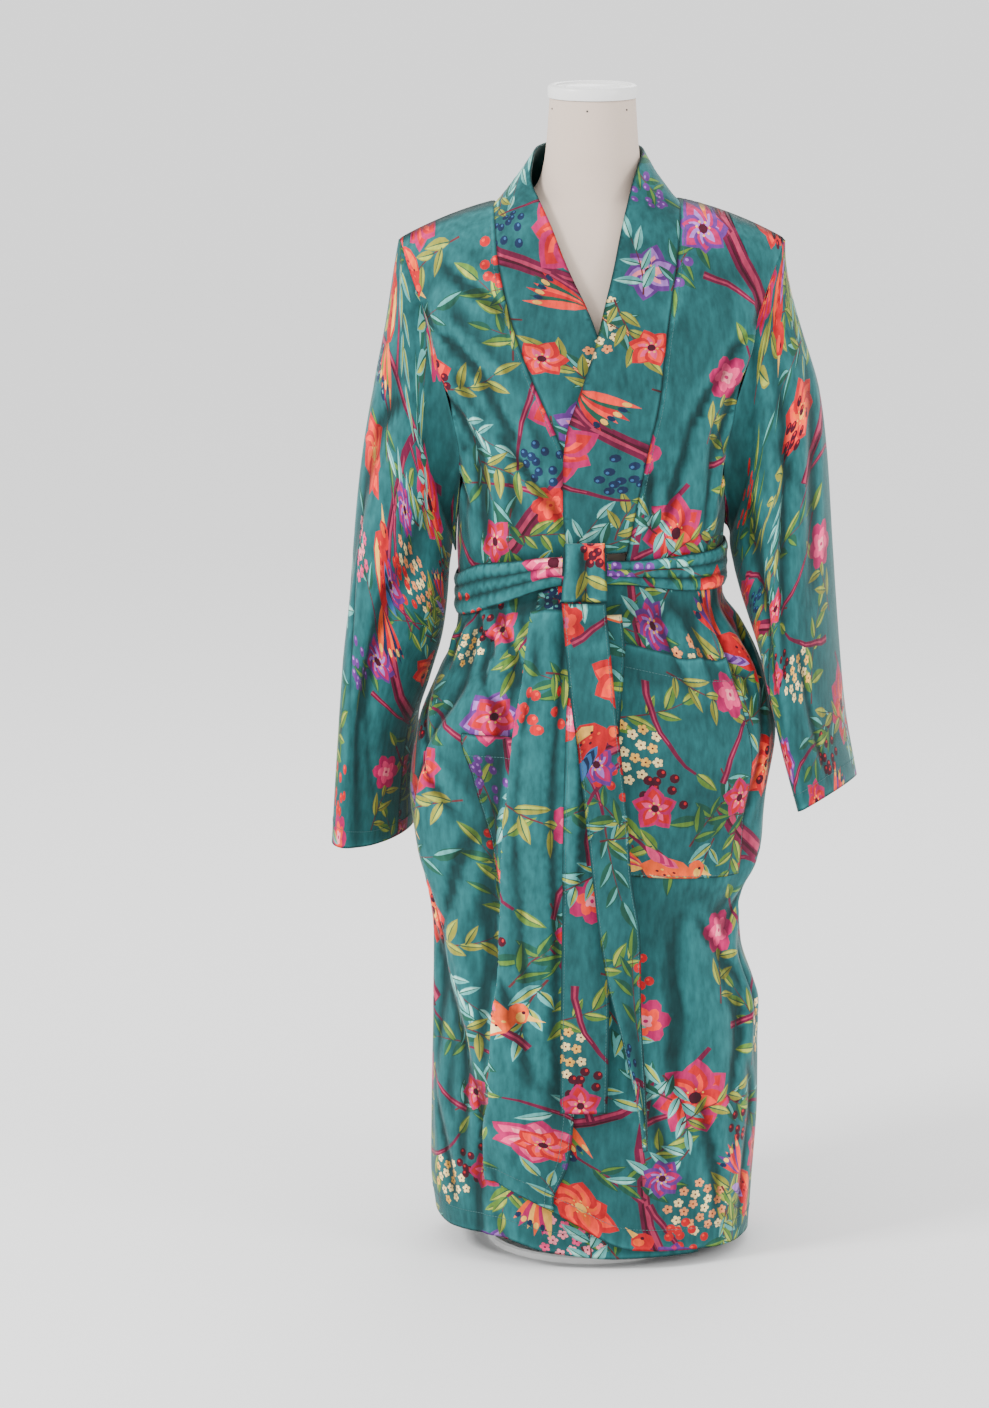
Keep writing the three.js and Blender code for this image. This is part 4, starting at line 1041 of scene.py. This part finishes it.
def sleeve_free(side, along, degrees):
    table = sleeve_tables[side]
    sign = 1 if side == "left" else -1
    c = np.cos(np.radians(degrees))
    s = np.sin(np.radians(degrees))
    rounded = np.sign(c) * np.abs(c) ** LENS
    outer_x, inner_x = table["outer_x"](along), table["inner_x"](along)
    outer_z, inner_z = table["outer_z"](along), table["inner_z"](along)
    lean = table["lean"](along)
    across = (outer_x - inner_x) / 2 * (np.sqrt(1 - lean ** 2) * rounded - sign * lean * s)
    return np.stack([sign * ((outer_x + inner_x) / 2 + across), 4 - table["depth"](along) * s,
        (outer_z + inner_z) / 2 + (outer_z - inner_z) / 2 * c], -1)


arm_rows = [1162, 1157, 1146, 1122, 1088, 1046, 1004, 960, 916, 876, 838, 806]
arm_height = curve([(180 * i / 11, h) for i, h in enumerate(arm_rows)])


def armhole_ring(side, degrees):
    sign = 1 if side == "left" else -1
    front = degrees <= 180
    height = arm_height(np.where(front, degrees, 360 - degrees))
    gap = arm_gap(height)
    angle = sign * (90 + np.where(front, -gap, gap))
    lift = np.where(front, left_lift(angle, height), 0) if side == "left" else np.zeros_like(height)
    clear = 0.48 + (CLOTH + 0.12) * (1 - ease(height, UNDERARM + 5, 890))
    point = robe(angle, height) + robe_normal(angle, height) * lift[..., None]
    return point + np.stack([sign * clear, np.zeros_like(clear), np.zeros_like(clear)], -1)


def sleeve_place(side):
    ring_degrees = np.linspace(0, 360, 1441)
    ring = armhole_ring(side, ring_degrees)

    def armhole(degrees):
        around = degrees % 360
        return np.stack([np.interp(around, ring_degrees, ring[:, k]) for k in range(3)], -1)

    def shape(along, degrees):
        reach = 0.06 + 0.14 * (1 + np.cos(np.radians(degrees))) / 2
        t = np.clip(along / reach, 0, 1)
        w = (1 - t * t * (3 - 2 * t))[..., None]
        return sleeve_free(side, along, degrees) * (1 - w) + armhole(degrees) * w

    def place(u, v):
        along = np.clip(1 - v / SLEEVE_LONG, 0, 1)
        degrees = u / SLEEVE_ROUND
        base = shape(along, degrees)
        du = shape(along, degrees + 0.5) - shape(along, degrees - 0.5)
        dv = shape(np.clip(along + 0.005, 0, 1), degrees) - shape(np.clip(along - 0.005, 0, 1), degrees)
        normal = unit(np.cross(du, dv)) * (1 if side == "left" else -1)
        depth = np.zeros_like(along)
        for at, shift, start, end, deep, width in sleeve_creases[side]:
            t = np.clip((along - start) / (end - start), 0, 1)
            off = turned(degrees - at - shift * t)
            depth += deep * np.sin(math.pi * t) * bump_shape(off, width, width)
        return base - normal * depth[..., None]
    return place


half_round = 180 * SLEEVE_ROUND
sleeve_places = {}
for side in ("left", "right"):
    across = [float(x) for x in np.linspace(-half_round + 0.4, half_round - 0.4, 76)]
    up = [float(x) for x in np.linspace(0, SLEEVE_LONG, 90)]
    outline = ([(x, 0.0) for x in across] + [(across[-1], y) for y in up[1:-1]]
        + [(x, float(SLEEVE_LONG)) for x in across[::-1]] + [(across[0], y) for y in up[-2:0:-1]])
    sleeve_places[side] = sleeve_place(side)
    sleeve = velvet_piece("sleeve_" + side + "_velvet", outline, sleeve_places[side], CLOTH, (120, 200) if side == "left" else (330, 40),
        -1 if side == "left" else 1)
    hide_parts("sleeve_" + side)


# The collar band: a doubled strip sewn on one seam from the belt up one front, round the neck
# and down the other. It lies flat on the chest and stands up against the neck.
band_edges = {
    "left": curves("height x z y", [
        (790, -26, 790, -125), (838, -31, 840, -125), (876, -31, 880, -125), (916, -28, 918, -125),
        (960, -14, 962, -125), (1004, 1, 1008, -118), (1046, 11, 1050, -105), (1088, 22, 1094, -84),
        (1122, 30, 1133, -72), (1146, 38, 1164, -52), (1157, 45, 1187, -34), (1162, 54, 1205, 8)]),
    "right": curves("height x z y", [
        (790, 76, 790, -115), (838, 62, 840, -120), (876, 50, 880, -122), (916, 38, 918, -122),
        (960, 24, 963, -120), (1004, 10, 1006, -112), (1046, -6, 1048, -104), (1088, -28, 1092, -80),
        (1122, -46, 1136, -66), (1146, -58, 1160, -40), (1157, -66, 1180, -14), (1162, -61, 1203, 14)])}
BAND_WIDE = 70
BAND_ROLL = 4
SEAM = 0.3


def on_front(x, z, lift):
    height = np.array(z, float)
    x = np.asarray(x, float)
    for k in range(6):
        wide = np.where(x < 0, body["right"](height), body["left"](height))
        angle = np.degrees(np.arcsin(np.clip(x / wide, -0.999, 0.999)))
        height = np.clip(height + z - robe(angle, height)[..., 2], HEM, SHOULDER_TOP - 1)
    return robe(angle, height) + robe_normal(angle, height) * np.asarray(lift)[..., None]


def band_row(side, height, shares):
    table = band_edges[side]
    angle = seam_angle(side, height)
    lift = float(left_lift(angle, height)) if side == "left" else 0.0
    start = robe(angle, height) + robe_normal(angle, height) * lift
    end = np.array([float(table["x"](height)), float(table["y"](height)), float(table["z"](height))])
    standing = float(ease(height, 1080, 1140))
    near = start + unit(end - start) * SEAM * 1.4
    t = shares[:, None]
    free = near * (1 - t) + end * t
    free[:, 1] -= BAND_ROLL * np.sin(math.pi * shares)
    laid = on_front(free[:, 0], start[2] * (1 - shares) + end[2] * shares, np.full(len(shares), lift))
    out = laid * (1 - standing) + free * standing
    out[0] = near
    return out


def neck_row(share, shares):
    angle = neck_left + (neck_right - neck_left) * share
    start = robe(angle, back_top(angle)) + np.array([0, 0, SEAM + 0.2])
    end = np.array([-3 + 57.5 * math.cos(math.pi * share), 12 + 53 * math.sin(math.pi * share),
        1203 + 9 * math.sin(math.pi * share)])
    t = shares[:, None]
    out = start * (1 - t) + end * t
    out[:, 1] += BAND_ROLL * np.sin(math.pi * shares)
    return out


def smooth_rows(grid, passes):
    for k in range(passes):
        grid[1:-1] = grid[1:-1] * 0.5 + (grid[:-2] + grid[2:]) * 0.25
    return grid


def grid_place(grid, long, wide):
    """Points of a dense grid as a smooth sheet: u runs along its rows' numbers, v across"""
    rows, cols = grid.shape[:2]

    def place(u, v):
        x = np.clip(np.asarray(u) / long, 0, 1) * (rows - 1)
        y = np.clip(np.asarray(v) / wide, 0, 1) * (cols - 1)
        i = np.minimum(x.astype(int), rows - 2)
        j = np.minimum(y.astype(int), cols - 2)
        a = (x - i)[..., None]
        b = (y - j)[..., None]
        return ((grid[i, j] * (1 - a) + grid[i + 1, j] * a) * (1 - b)
            + (grid[i, j + 1] * (1 - a) + grid[i + 1, j + 1] * a) * b)
    return place


def box_outline(long, wide, step=7):
    n = max(2, int(long / step))
    m = max(2, int(wide / step))
    return (edge_line((0, 0), (long, 0), n) + edge_line((long, 0), (long, wide), m)
        + edge_line((long, wide), (0, wide), n) + edge_line((0, wide), (0, 0), m))


def edge_length(grid):
    middle = grid[:, grid.shape[1] // 2]
    return float(np.linalg.norm(np.diff(middle, axis=0), axis=1).sum())


shares = np.linspace(0, 1, 15)
heights = np.concatenate([np.arange(790, 1140, 5), np.linspace(1140, SHOULDER_TOP, 14)])
band_grid = np.array([band_row("left", h, shares) for h in heights]
    + [neck_row(s, shares) for s in np.linspace(0, 1, 26)[1:-1]]
    + [band_row("right", h, shares) for h in heights[::-1]])
band_grid = smooth_rows(band_grid, 3)
band_long = edge_length(band_grid)
band = velvet_piece("collar_band_velvet", box_outline(band_long, BAND_WIDE),
    grid_place(band_grid, band_long, BAND_WIDE), DOUBLE, (20, 500), 1, 6)
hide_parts("collar_band")


# Below the belt the same edge band is turned back on the left front, from the fold to its free edge.
# It hangs from the belt with soft upright folds and ends in its own short hem.
flap_edge = curve([(740, -13), (400, -12), (174, -18), (104, -23), (39, -39)])
FLAP_GAP = 0.8
FLAP_TOP = 722


def flap_grid():
    rows = []
    for height in np.arange(FLAP_TOP, HEM - 0.1, -6):
        fold = float(turn_angle(height))
        free = float(np.degrees(np.arcsin(flap_edge(height) / body["right"](height))))
        angles = np.concatenate([[fold - 0.9, fold - 1.0, fold - 0.4], np.linspace(fold + 0.6, free, 14)])
        lifts = np.concatenate([[TOP_LAYER + 0.3, TOP_LAYER + CLOTH * 0.6, TOP_LAYER + CLOTH + 0.6],
            np.full(14, TOP_LAYER + CLOTH + FLAP_GAP)]) + 0.6 * crease_height(angles, height)
        points = robe(angles, np.full(17, height)) + robe_normal(angles, np.full(17, height)) * lifts[:, None]
        rows.append(to_hem(points, hem_left))
    return np.array(rows)


grid = flap_grid()
flap_long = edge_length(grid)
flap_place = grid_place(grid, flap_long, 80)
flap = velvet_piece("front_edge_flap_velvet", box_outline(flap_long, 80), flap_place, DOUBLE - 0.6, (300, 20), 1, 6)
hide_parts("front_edge_flap")


# Two patch pockets, one on each front, hemmed at the mouth and stitched round three sides.
# The right one slants with the cloth and runs in under the left front.
right_pocket_edge = curve([(740, -12), (594, -46), (548, -41), (483, -34), (426, -30), (376, -27), (12, -20)])
POCKET_GAP = 0.5


pocket_places = {}


def pocket_piece(name, node, top, foot, low_angle, high_angle, lift_of, wide, cut_from):
    rows = []
    for height in np.linspace(top, foot, 60):
        angles = np.linspace(low_angle(height), high_angle(height), 40)
        lift = lift_of(angles, np.full(40, height)) + CLOTH + POCKET_GAP + 0.6 * crease_height(angles, height)
        edge = min(1.0, (top - height) / 40)
        lift = lift + 3.0 * (1 - edge) ** 2 * np.sin(math.pi * np.linspace(0, 1, 40))
        rows.append(robe(angles, np.full(40, height)) + robe_normal(angles, np.full(40, height)) * lift[:, None])
    grid = np.array(rows)
    long = edge_length(grid)
    place = grid_place(grid, long, wide)
    pocket_places["left" if "left" in name else "right"] = (place, long, wide)
    piece = velvet_piece(name, box_outline(long, wide), place, CLOTH, cut_from, 1, 6)
    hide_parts(node)
    return grid


pocket_left = pocket_piece("pocket_left_velvet", "pocket_left", 697, 446,
    lambda h: 3.0, lambda h: 56.0, left_lift, 165, (140, 90))
pocket_right = pocket_piece("pocket_right_velvet", "pocket_right", 594, 376,
    lambda h: float(right_pocket_edge(h)) + 0.3, lambda h: -4.0, lambda a, h: np.zeros_like(a), 130, (420, 250))


# The belt: a doubled band round the waist whose pleats run in to the knot, tied half over.
# The knot is the belt's own end, brought up behind and folded down; both ends hang in front.
belt_half = curve([(-180, 24), (-90, 20), (-60, 25), (-14, 15), (-4, 13), (4, 12), (12, 12), (45, 20), (90, 23),
    (180, 24)])
belt_lift = curve([(-180, 3), (-52, 3), (-30, 10.8), (50, 10.8), (82, 3.4), (180, 3)])
pleat_size = curve([(-150, 0.6), (-60, 2.2), (-15, 3.2), (15, 3.2), (60, 2.2), (150, 0.6)])
BELT_THICK = 3.2


def belt_grid():
    rows = []
    for angle in np.linspace(-180, 180, 241):
        share = np.linspace(-1, 1, 25)
        height = WAIST + share * float(belt_half(angle))
        angles = np.full(25, angle)
        pleat = float(pleat_size(angle)) * (0.5 - 0.5 * np.cos(3 * math.pi * (share + 1)))
        lift = float(belt_lift(angle)) + 0.3 + pleat - 1.2 * np.abs(share) ** 6
        rows.append(robe(angles, height) + robe_normal(angles, height) * lift[:, None])
    return np.array(rows)


grid = belt_grid()
belt_long = edge_length(grid)
belt = velvet_piece("belt_velvet", box_outline(belt_long, 46), grid_place(grid, belt_long, 46), BELT_THICK - 0.4,
    (200, 260), 1, 6)
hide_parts("belt_waist")

KNOT_X = -9
KNOT_TOP = 803
KNOT_FOOT = 742
KNOT_HALF = 24
KNOT_DEPTH = 16
knot_back = float(on_front(np.array([KNOT_X]), np.array([WAIST]), [10.8 + BELT_THICK + 2.6])[0, 1])


def knot_grid():
    """A flat loop: up behind, over the top and down the front, with two soft pleats"""
    rows = []
    for t in np.linspace(0, 1, 61):
        if t < 0.2:
            z = KNOT_TOP - 5 - (0.2 - t) / 0.2 * 30
            y = knot_back - 1.5
        elif t < 0.45:
            a = (t - 0.2) / 0.25 * math.pi
            z = KNOT_TOP - 5 + 4.6 * math.sin(a)
            y = knot_back - 1.5 - 5.2 * (1 - math.cos(a))
        else:
            s = (t - 0.45) / 0.55
            z = KNOT_TOP - 5 - s * (KNOT_TOP - 5 - KNOT_FOOT)
            y = knot_back - 11.9 + 3.2 * s * s - 1.6 * math.sin(math.pi * s)
        share = np.linspace(-1, 1, 25)
        half = KNOT_HALF * (0.92 + 0.08 * math.cos(2 * math.pi * t))
        x = KNOT_X + share * half
        fold = 1.5 * np.cos(share * 5.2 + 0.5) + 1.4 * np.abs(share) ** 5
        rows.append(np.stack([x, y + fold * (0.3 + 0.7 * min(1.0, t * 2)), np.full(25, z)], 1))
    return np.array(rows)


grid = knot_grid()
knot_long = edge_length(grid)
knot = velvet_piece("belt_knot_velvet", box_outline(knot_long, 48, 4), grid_place(grid, knot_long, 48), 1.6,
    (90, 420), 1, 4)
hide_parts("belt_knot")


def tail_grid(heights, left_x, right_x, lift, hang, twist):
    rows = []
    for z in heights:
        share = np.linspace(0, 1, 17)
        x = float(left_x(z)) + (float(right_x(z)) - float(left_x(z))) * share
        point = on_front(x, np.full(17, z), np.full(17, lift))
        y = np.minimum(point[:, 1], float(hang(z))) - 2 * np.sin(math.pi * share)
        y -= twist(z, share)
        rows.append(np.stack([x, y, np.full(17, z)], 1))
    return np.array(rows)


TAIL_BEHIND = TOP_LAYER + CLOTH + FLAP_GAP + DOUBLE + 1.5
TAIL_FRONT = TAIL_BEHIND + DOUBLE + 1.6
grid = tail_grid(np.linspace(727, 182, 110),
    curve([(727, -12), (700, -16), (650, -26), (480, -31), (182, -34)]),
    curve([(727, 30), (690, 34), (636, 30), (480, 22), (182, 17)]),
    TAIL_BEHIND, curve([(727, -133), (640, -149), (182, -150)]),
    lambda z, s: 1.2 * np.sin(z / 47.0 + 2 * s))
tail_long = edge_length(grid)
strip_places = {"belt_tail_behind": (grid_place(grid, tail_long, 50), tail_long, 50, DOUBLE - 0.6)}
tail = velvet_piece("belt_tail_behind_velvet", box_outline(tail_long, 50), grid_place(grid, tail_long, 50),
    DOUBLE - 0.6, (510, 60), 1, 6)
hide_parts("belt_tail_behind")
grid = tail_grid(np.linspace(740, 142, 120),
    curve([(740, -33), (650, -25), (565, -14), (440, 1), (390, 7), (325, 18), (265, 33), (180, 51), (142, 56)]),
    curve([(740, 13), (650, 22), (520, 36), (440, 42), (380, 51), (300, 53), (180, 60), (142, 61)]),
    TAIL_FRONT, curve([(740, -136), (720, -141), (690, -152), (640, -159), (142, -158)]),
    lambda z, s: 1.5 * np.sin(z / 60.0 + 3 * s) + 2.0 * float(ease(420 - z, 0, 150)) * np.cos(5 * s))
tail_long = edge_length(grid)
strip_places["belt_tail_front"] = (grid_place(grid, tail_long, 48), tail_long, 48, DOUBLE - 0.8)
tail = velvet_piece("belt_tail_front_velvet", box_outline(tail_long, 48), grid_place(grid, tail_long, 48),
    DOUBLE - 0.8, (340, 330), 1, 6)
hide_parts("belt_tail_front")


# The stitching: matching thread in short straight stitches, set along lines a little off each surface.
# One node tree spaces the stitches along every line; each piece's lines end up as one small mesh.
STITCH_LONG = 2.6
STITCH_STEP = 3.6
STITCH_THICK = 0.35
thread, tree, shader = new_material("teal thread", (0.03, 0.10, 0.10, 1), 0.6, 0.4)
add_bump(tree, shader, object_noise(tree, 3000).outputs["Fac"], 0.0001, 0.4)
tinted(tree, shader, object_noise(tree, 80).outputs["Fac"], (0.02, 0.075, 0.08, 1), (0.05, 0.15, 0.15, 1))


def stitch_tree():
    group = bpy.data.node_groups.new("stitches along lines", "GeometryNodeTree")
    face = group.interface
    face.new_socket("Geometry", in_out="INPUT", socket_type="NodeSocketGeometry")
    named = {}
    for name, value in (("Stitch length", STITCH_LONG * MM), ("Stitch step", STITCH_STEP * MM),
            ("Thread radius", STITCH_THICK * MM)):
        named[name] = face.new_socket(name, in_out="INPUT", socket_type="NodeSocketFloat")
        named[name].default_value = value
    named["Thread"] = face.new_socket("Thread", in_out="INPUT", socket_type="NodeSocketMaterial")
    face.new_socket("Geometry", in_out="OUTPUT", socket_type="NodeSocketGeometry")
    made = {name: group.nodes.new(kind) for name, kind in (
        ("given", "NodeGroupInput"), ("lines", "GeometryNodeMeshToCurve"), ("step", "GeometryNodeResampleCurve"),
        ("heading", "GeometryNodeInputTangent"), ("turn", "FunctionNodeAlignRotationToVector"),
        ("one", "GeometryNodeMeshCylinder"), ("place", "GeometryNodeInstanceOnPoints"),
        ("real", "GeometryNodeRealizeInstances"), ("paint", "GeometryNodeSetMaterial"),
        ("result", "NodeGroupOutput"))}
    made["step"].mode = "LENGTH"
    made["turn"].axis = "Z"
    made["one"].inputs["Vertices"].default_value = 6
    for source, output, target, socket in (
            ("given", "Geometry", "lines", "Mesh"), ("lines", "Curve", "step", "Curve"),
            ("given", "Stitch step", "step", "Length"), ("step", "Curve", "place", "Points"),
            ("given", "Stitch length", "one", "Depth"), ("given", "Thread radius", "one", "Radius"),
            ("one", "Mesh", "place", "Instance"), ("heading", "Tangent", "turn", "Vector"),
            ("turn", "Rotation", "place", "Rotation"), ("place", "Instances", "real", "Geometry"),
            ("real", "Geometry", "paint", "Geometry"), ("given", "Thread", "paint", "Material"),
            ("paint", "Geometry", "result", "Geometry")):
        group.links.new(made[source].outputs[output], made[target].inputs[socket])
    return group, named


stitching, stitch_inputs = stitch_tree()


def stitch_lines(name, place, thick, lines, flip=1):
    verts = []
    edges = []
    for line in lines:
        points = np.array(line, float)
        gaps = np.concatenate([[0], np.cumsum(np.linalg.norm(np.diff(points, axis=0), axis=1))])
        even = np.linspace(0, gaps[-1], max(2, int(gaps[-1] / 5)))
        points = np.stack([np.interp(even, gaps, points[:, 0]), np.interp(even, gaps, points[:, 1])], 1)
        here, normal = surface(place, points, flip)
        here = (here + normal * (thick + 0.1)) * MM
        edges += [(len(verts) + k, len(verts) + k + 1) for k in range(len(here) - 1)]
        verts += [tuple(p) for p in here]
    mesh = bpy.data.meshes.new(name)
    mesh.from_pydata(verts, edges, [])
    piece = bpy.data.objects.new(name, mesh)
    bpy.context.scene.collection.objects.link(piece)
    modifier = piece.modifiers.new("stitches", "NODES")
    modifier.node_group = stitching
    modifier[stitch_inputs["Thread"].identifier] = thread
    modifier[stitch_inputs["Stitch step"].identifier] = STITCH_STEP * MM
    modifier[stitch_inputs["Stitch length"].identifier] = STITCH_LONG * MM
    modifier[stitch_inputs["Thread radius"].identifier] = STITCH_THICK * MM
    ready = piece.evaluated_get(bpy.context.evaluated_depsgraph_get())
    stitched = bpy.data.meshes.new_from_object(ready)
    piece.modifiers.remove(modifier)
    piece.data = stitched
    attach(piece, "root")


def along_edge(edge_angle, off, heights):
    return [(float(edge_angle(h)) * PATTERN_SCALE + off, float(h)) for h in heights]


band_heights = np.arange(800, 1150, 10)
stitch_lines("front_left_stitches", front_left_place, CLOTH, [
    along_edge(left_inner, 5, band_heights),
    [(u, HEM + 25.0) for u in np.arange(float(left_inner(HEM + 25)) * PATTERN_SCALE + 4, 88 * PATTERN_SCALE, 6)]])
stitch_lines("front_right_stitches", front_right_place, CLOTH, [
    along_edge(right_inner, -5, band_heights),
    [(u, HEM + 25.0) for u in np.arange(-88 * PATTERN_SCALE, 30 * PATTERN_SCALE, 6)]])
stitch_lines("back_stitches", back_place, CLOTH, [
    [(u, HEM + 25.0) for u in np.arange(92 * PATTERN_SCALE, 268 * PATTERN_SCALE, 6)]])
for side in ("left", "right"):
    stitch_lines("sleeve_" + side + "_stitches", sleeve_places[side], CLOTH,
        [[(u, 19.0) for u in np.arange(-half_round + 3, half_round - 3, 5)]], -1 if side == "left" else 1)
for name, (place, long, wide) in pocket_places.items():
    lines = [[(24.0, 2.0), (24.0, wide - 2.0)], [(2.0, 2.5), (long - 2.5, 2.5)], [(long - 2.5, 2.5), (long - 2.5, wide - 2.5)]]
    if name == "left":
        lines.append([(long - 2.5, wide - 2.5), (2.0, wide - 2.5)])
    stitch_lines("pocket_" + name + "_stitches", place, CLOTH, lines)
stitch_lines("flap_stitches", flap_place, DOUBLE - 0.6, [
    [(3.0, 71.0), (flap_long - 3, 71.0)], [(3.0, 77.5), (flap_long - 3, 77.5)],
    [(flap_long - 25, 3.0), (flap_long - 25, 77.0)]])
for name, (place, long, wide, thick) in strip_places.items():
    stitch_lines(name + "_stitches", place, thick, [
        [(3.0, 3.0), (long - 3, 3.0)], [(3.0, wide - 3.0), (long - 3, wide - 3.0)]])


# The camera stands back six metres and looks down a little, as the photograph was taken.
# The floor is a pale sweep under soft light from both sides and from above.
LOOK_AT = Vector((-0.1046, 0, 0.602))
PITCH = math.radians(12)
DISTANCE = 6.0
camera_data = bpy.data.cameras.new("camera")
camera_data.sensor_fit = "VERTICAL"
camera_data.sensor_height = 36
camera_data.lens = 140.7
camera = bpy.data.objects.new("camera", camera_data)
camera.location = LOOK_AT + Vector((0, -math.cos(PITCH), math.sin(PITCH))) * DISTANCE
camera.rotation_euler = (math.pi / 2 - PITCH, 0, 0)
bpy.context.scene.collection.objects.link(camera)
bpy.context.scene.camera = camera

paper, tree, shader = new_material("white floor", (0.97, 0.97, 0.97, 1), 0.9, 0.1)
floor = add_object("floor", [(-8, -8, 0), (8, -8, 0), (8, 8, 0), (-8, 8, 0)], [(0, 1, 2, 3)], paper, False)
world = bpy.data.worlds.new("soft white")
world.use_nodes = True
world.node_tree.nodes["Background"].inputs["Color"].default_value = (1, 1, 1, 1)
world.node_tree.nodes["Background"].inputs["Strength"].default_value = 1.5
bpy.context.scene.world = world


def soft_light(name, place, size, power):
    data = bpy.data.lights.new(name, "AREA")
    data.size = size
    data.energy = power
    light = bpy.data.objects.new(name, data)
    light.location = place
    light.rotation_euler = (Vector((0, 0, 0.7)) - Vector(place)).to_track_quat("-Z", "Y").to_euler()
    bpy.context.scene.collection.objects.link(light)


soft_light("key", (-2.6, -1.6, 2.7), 0.8, 120)
soft_light("fill", (2.6, -1.9, 1.8), 1.0, 34)
soft_light("rim", (0.5, 2.4, 2.4), 1.2, 24)
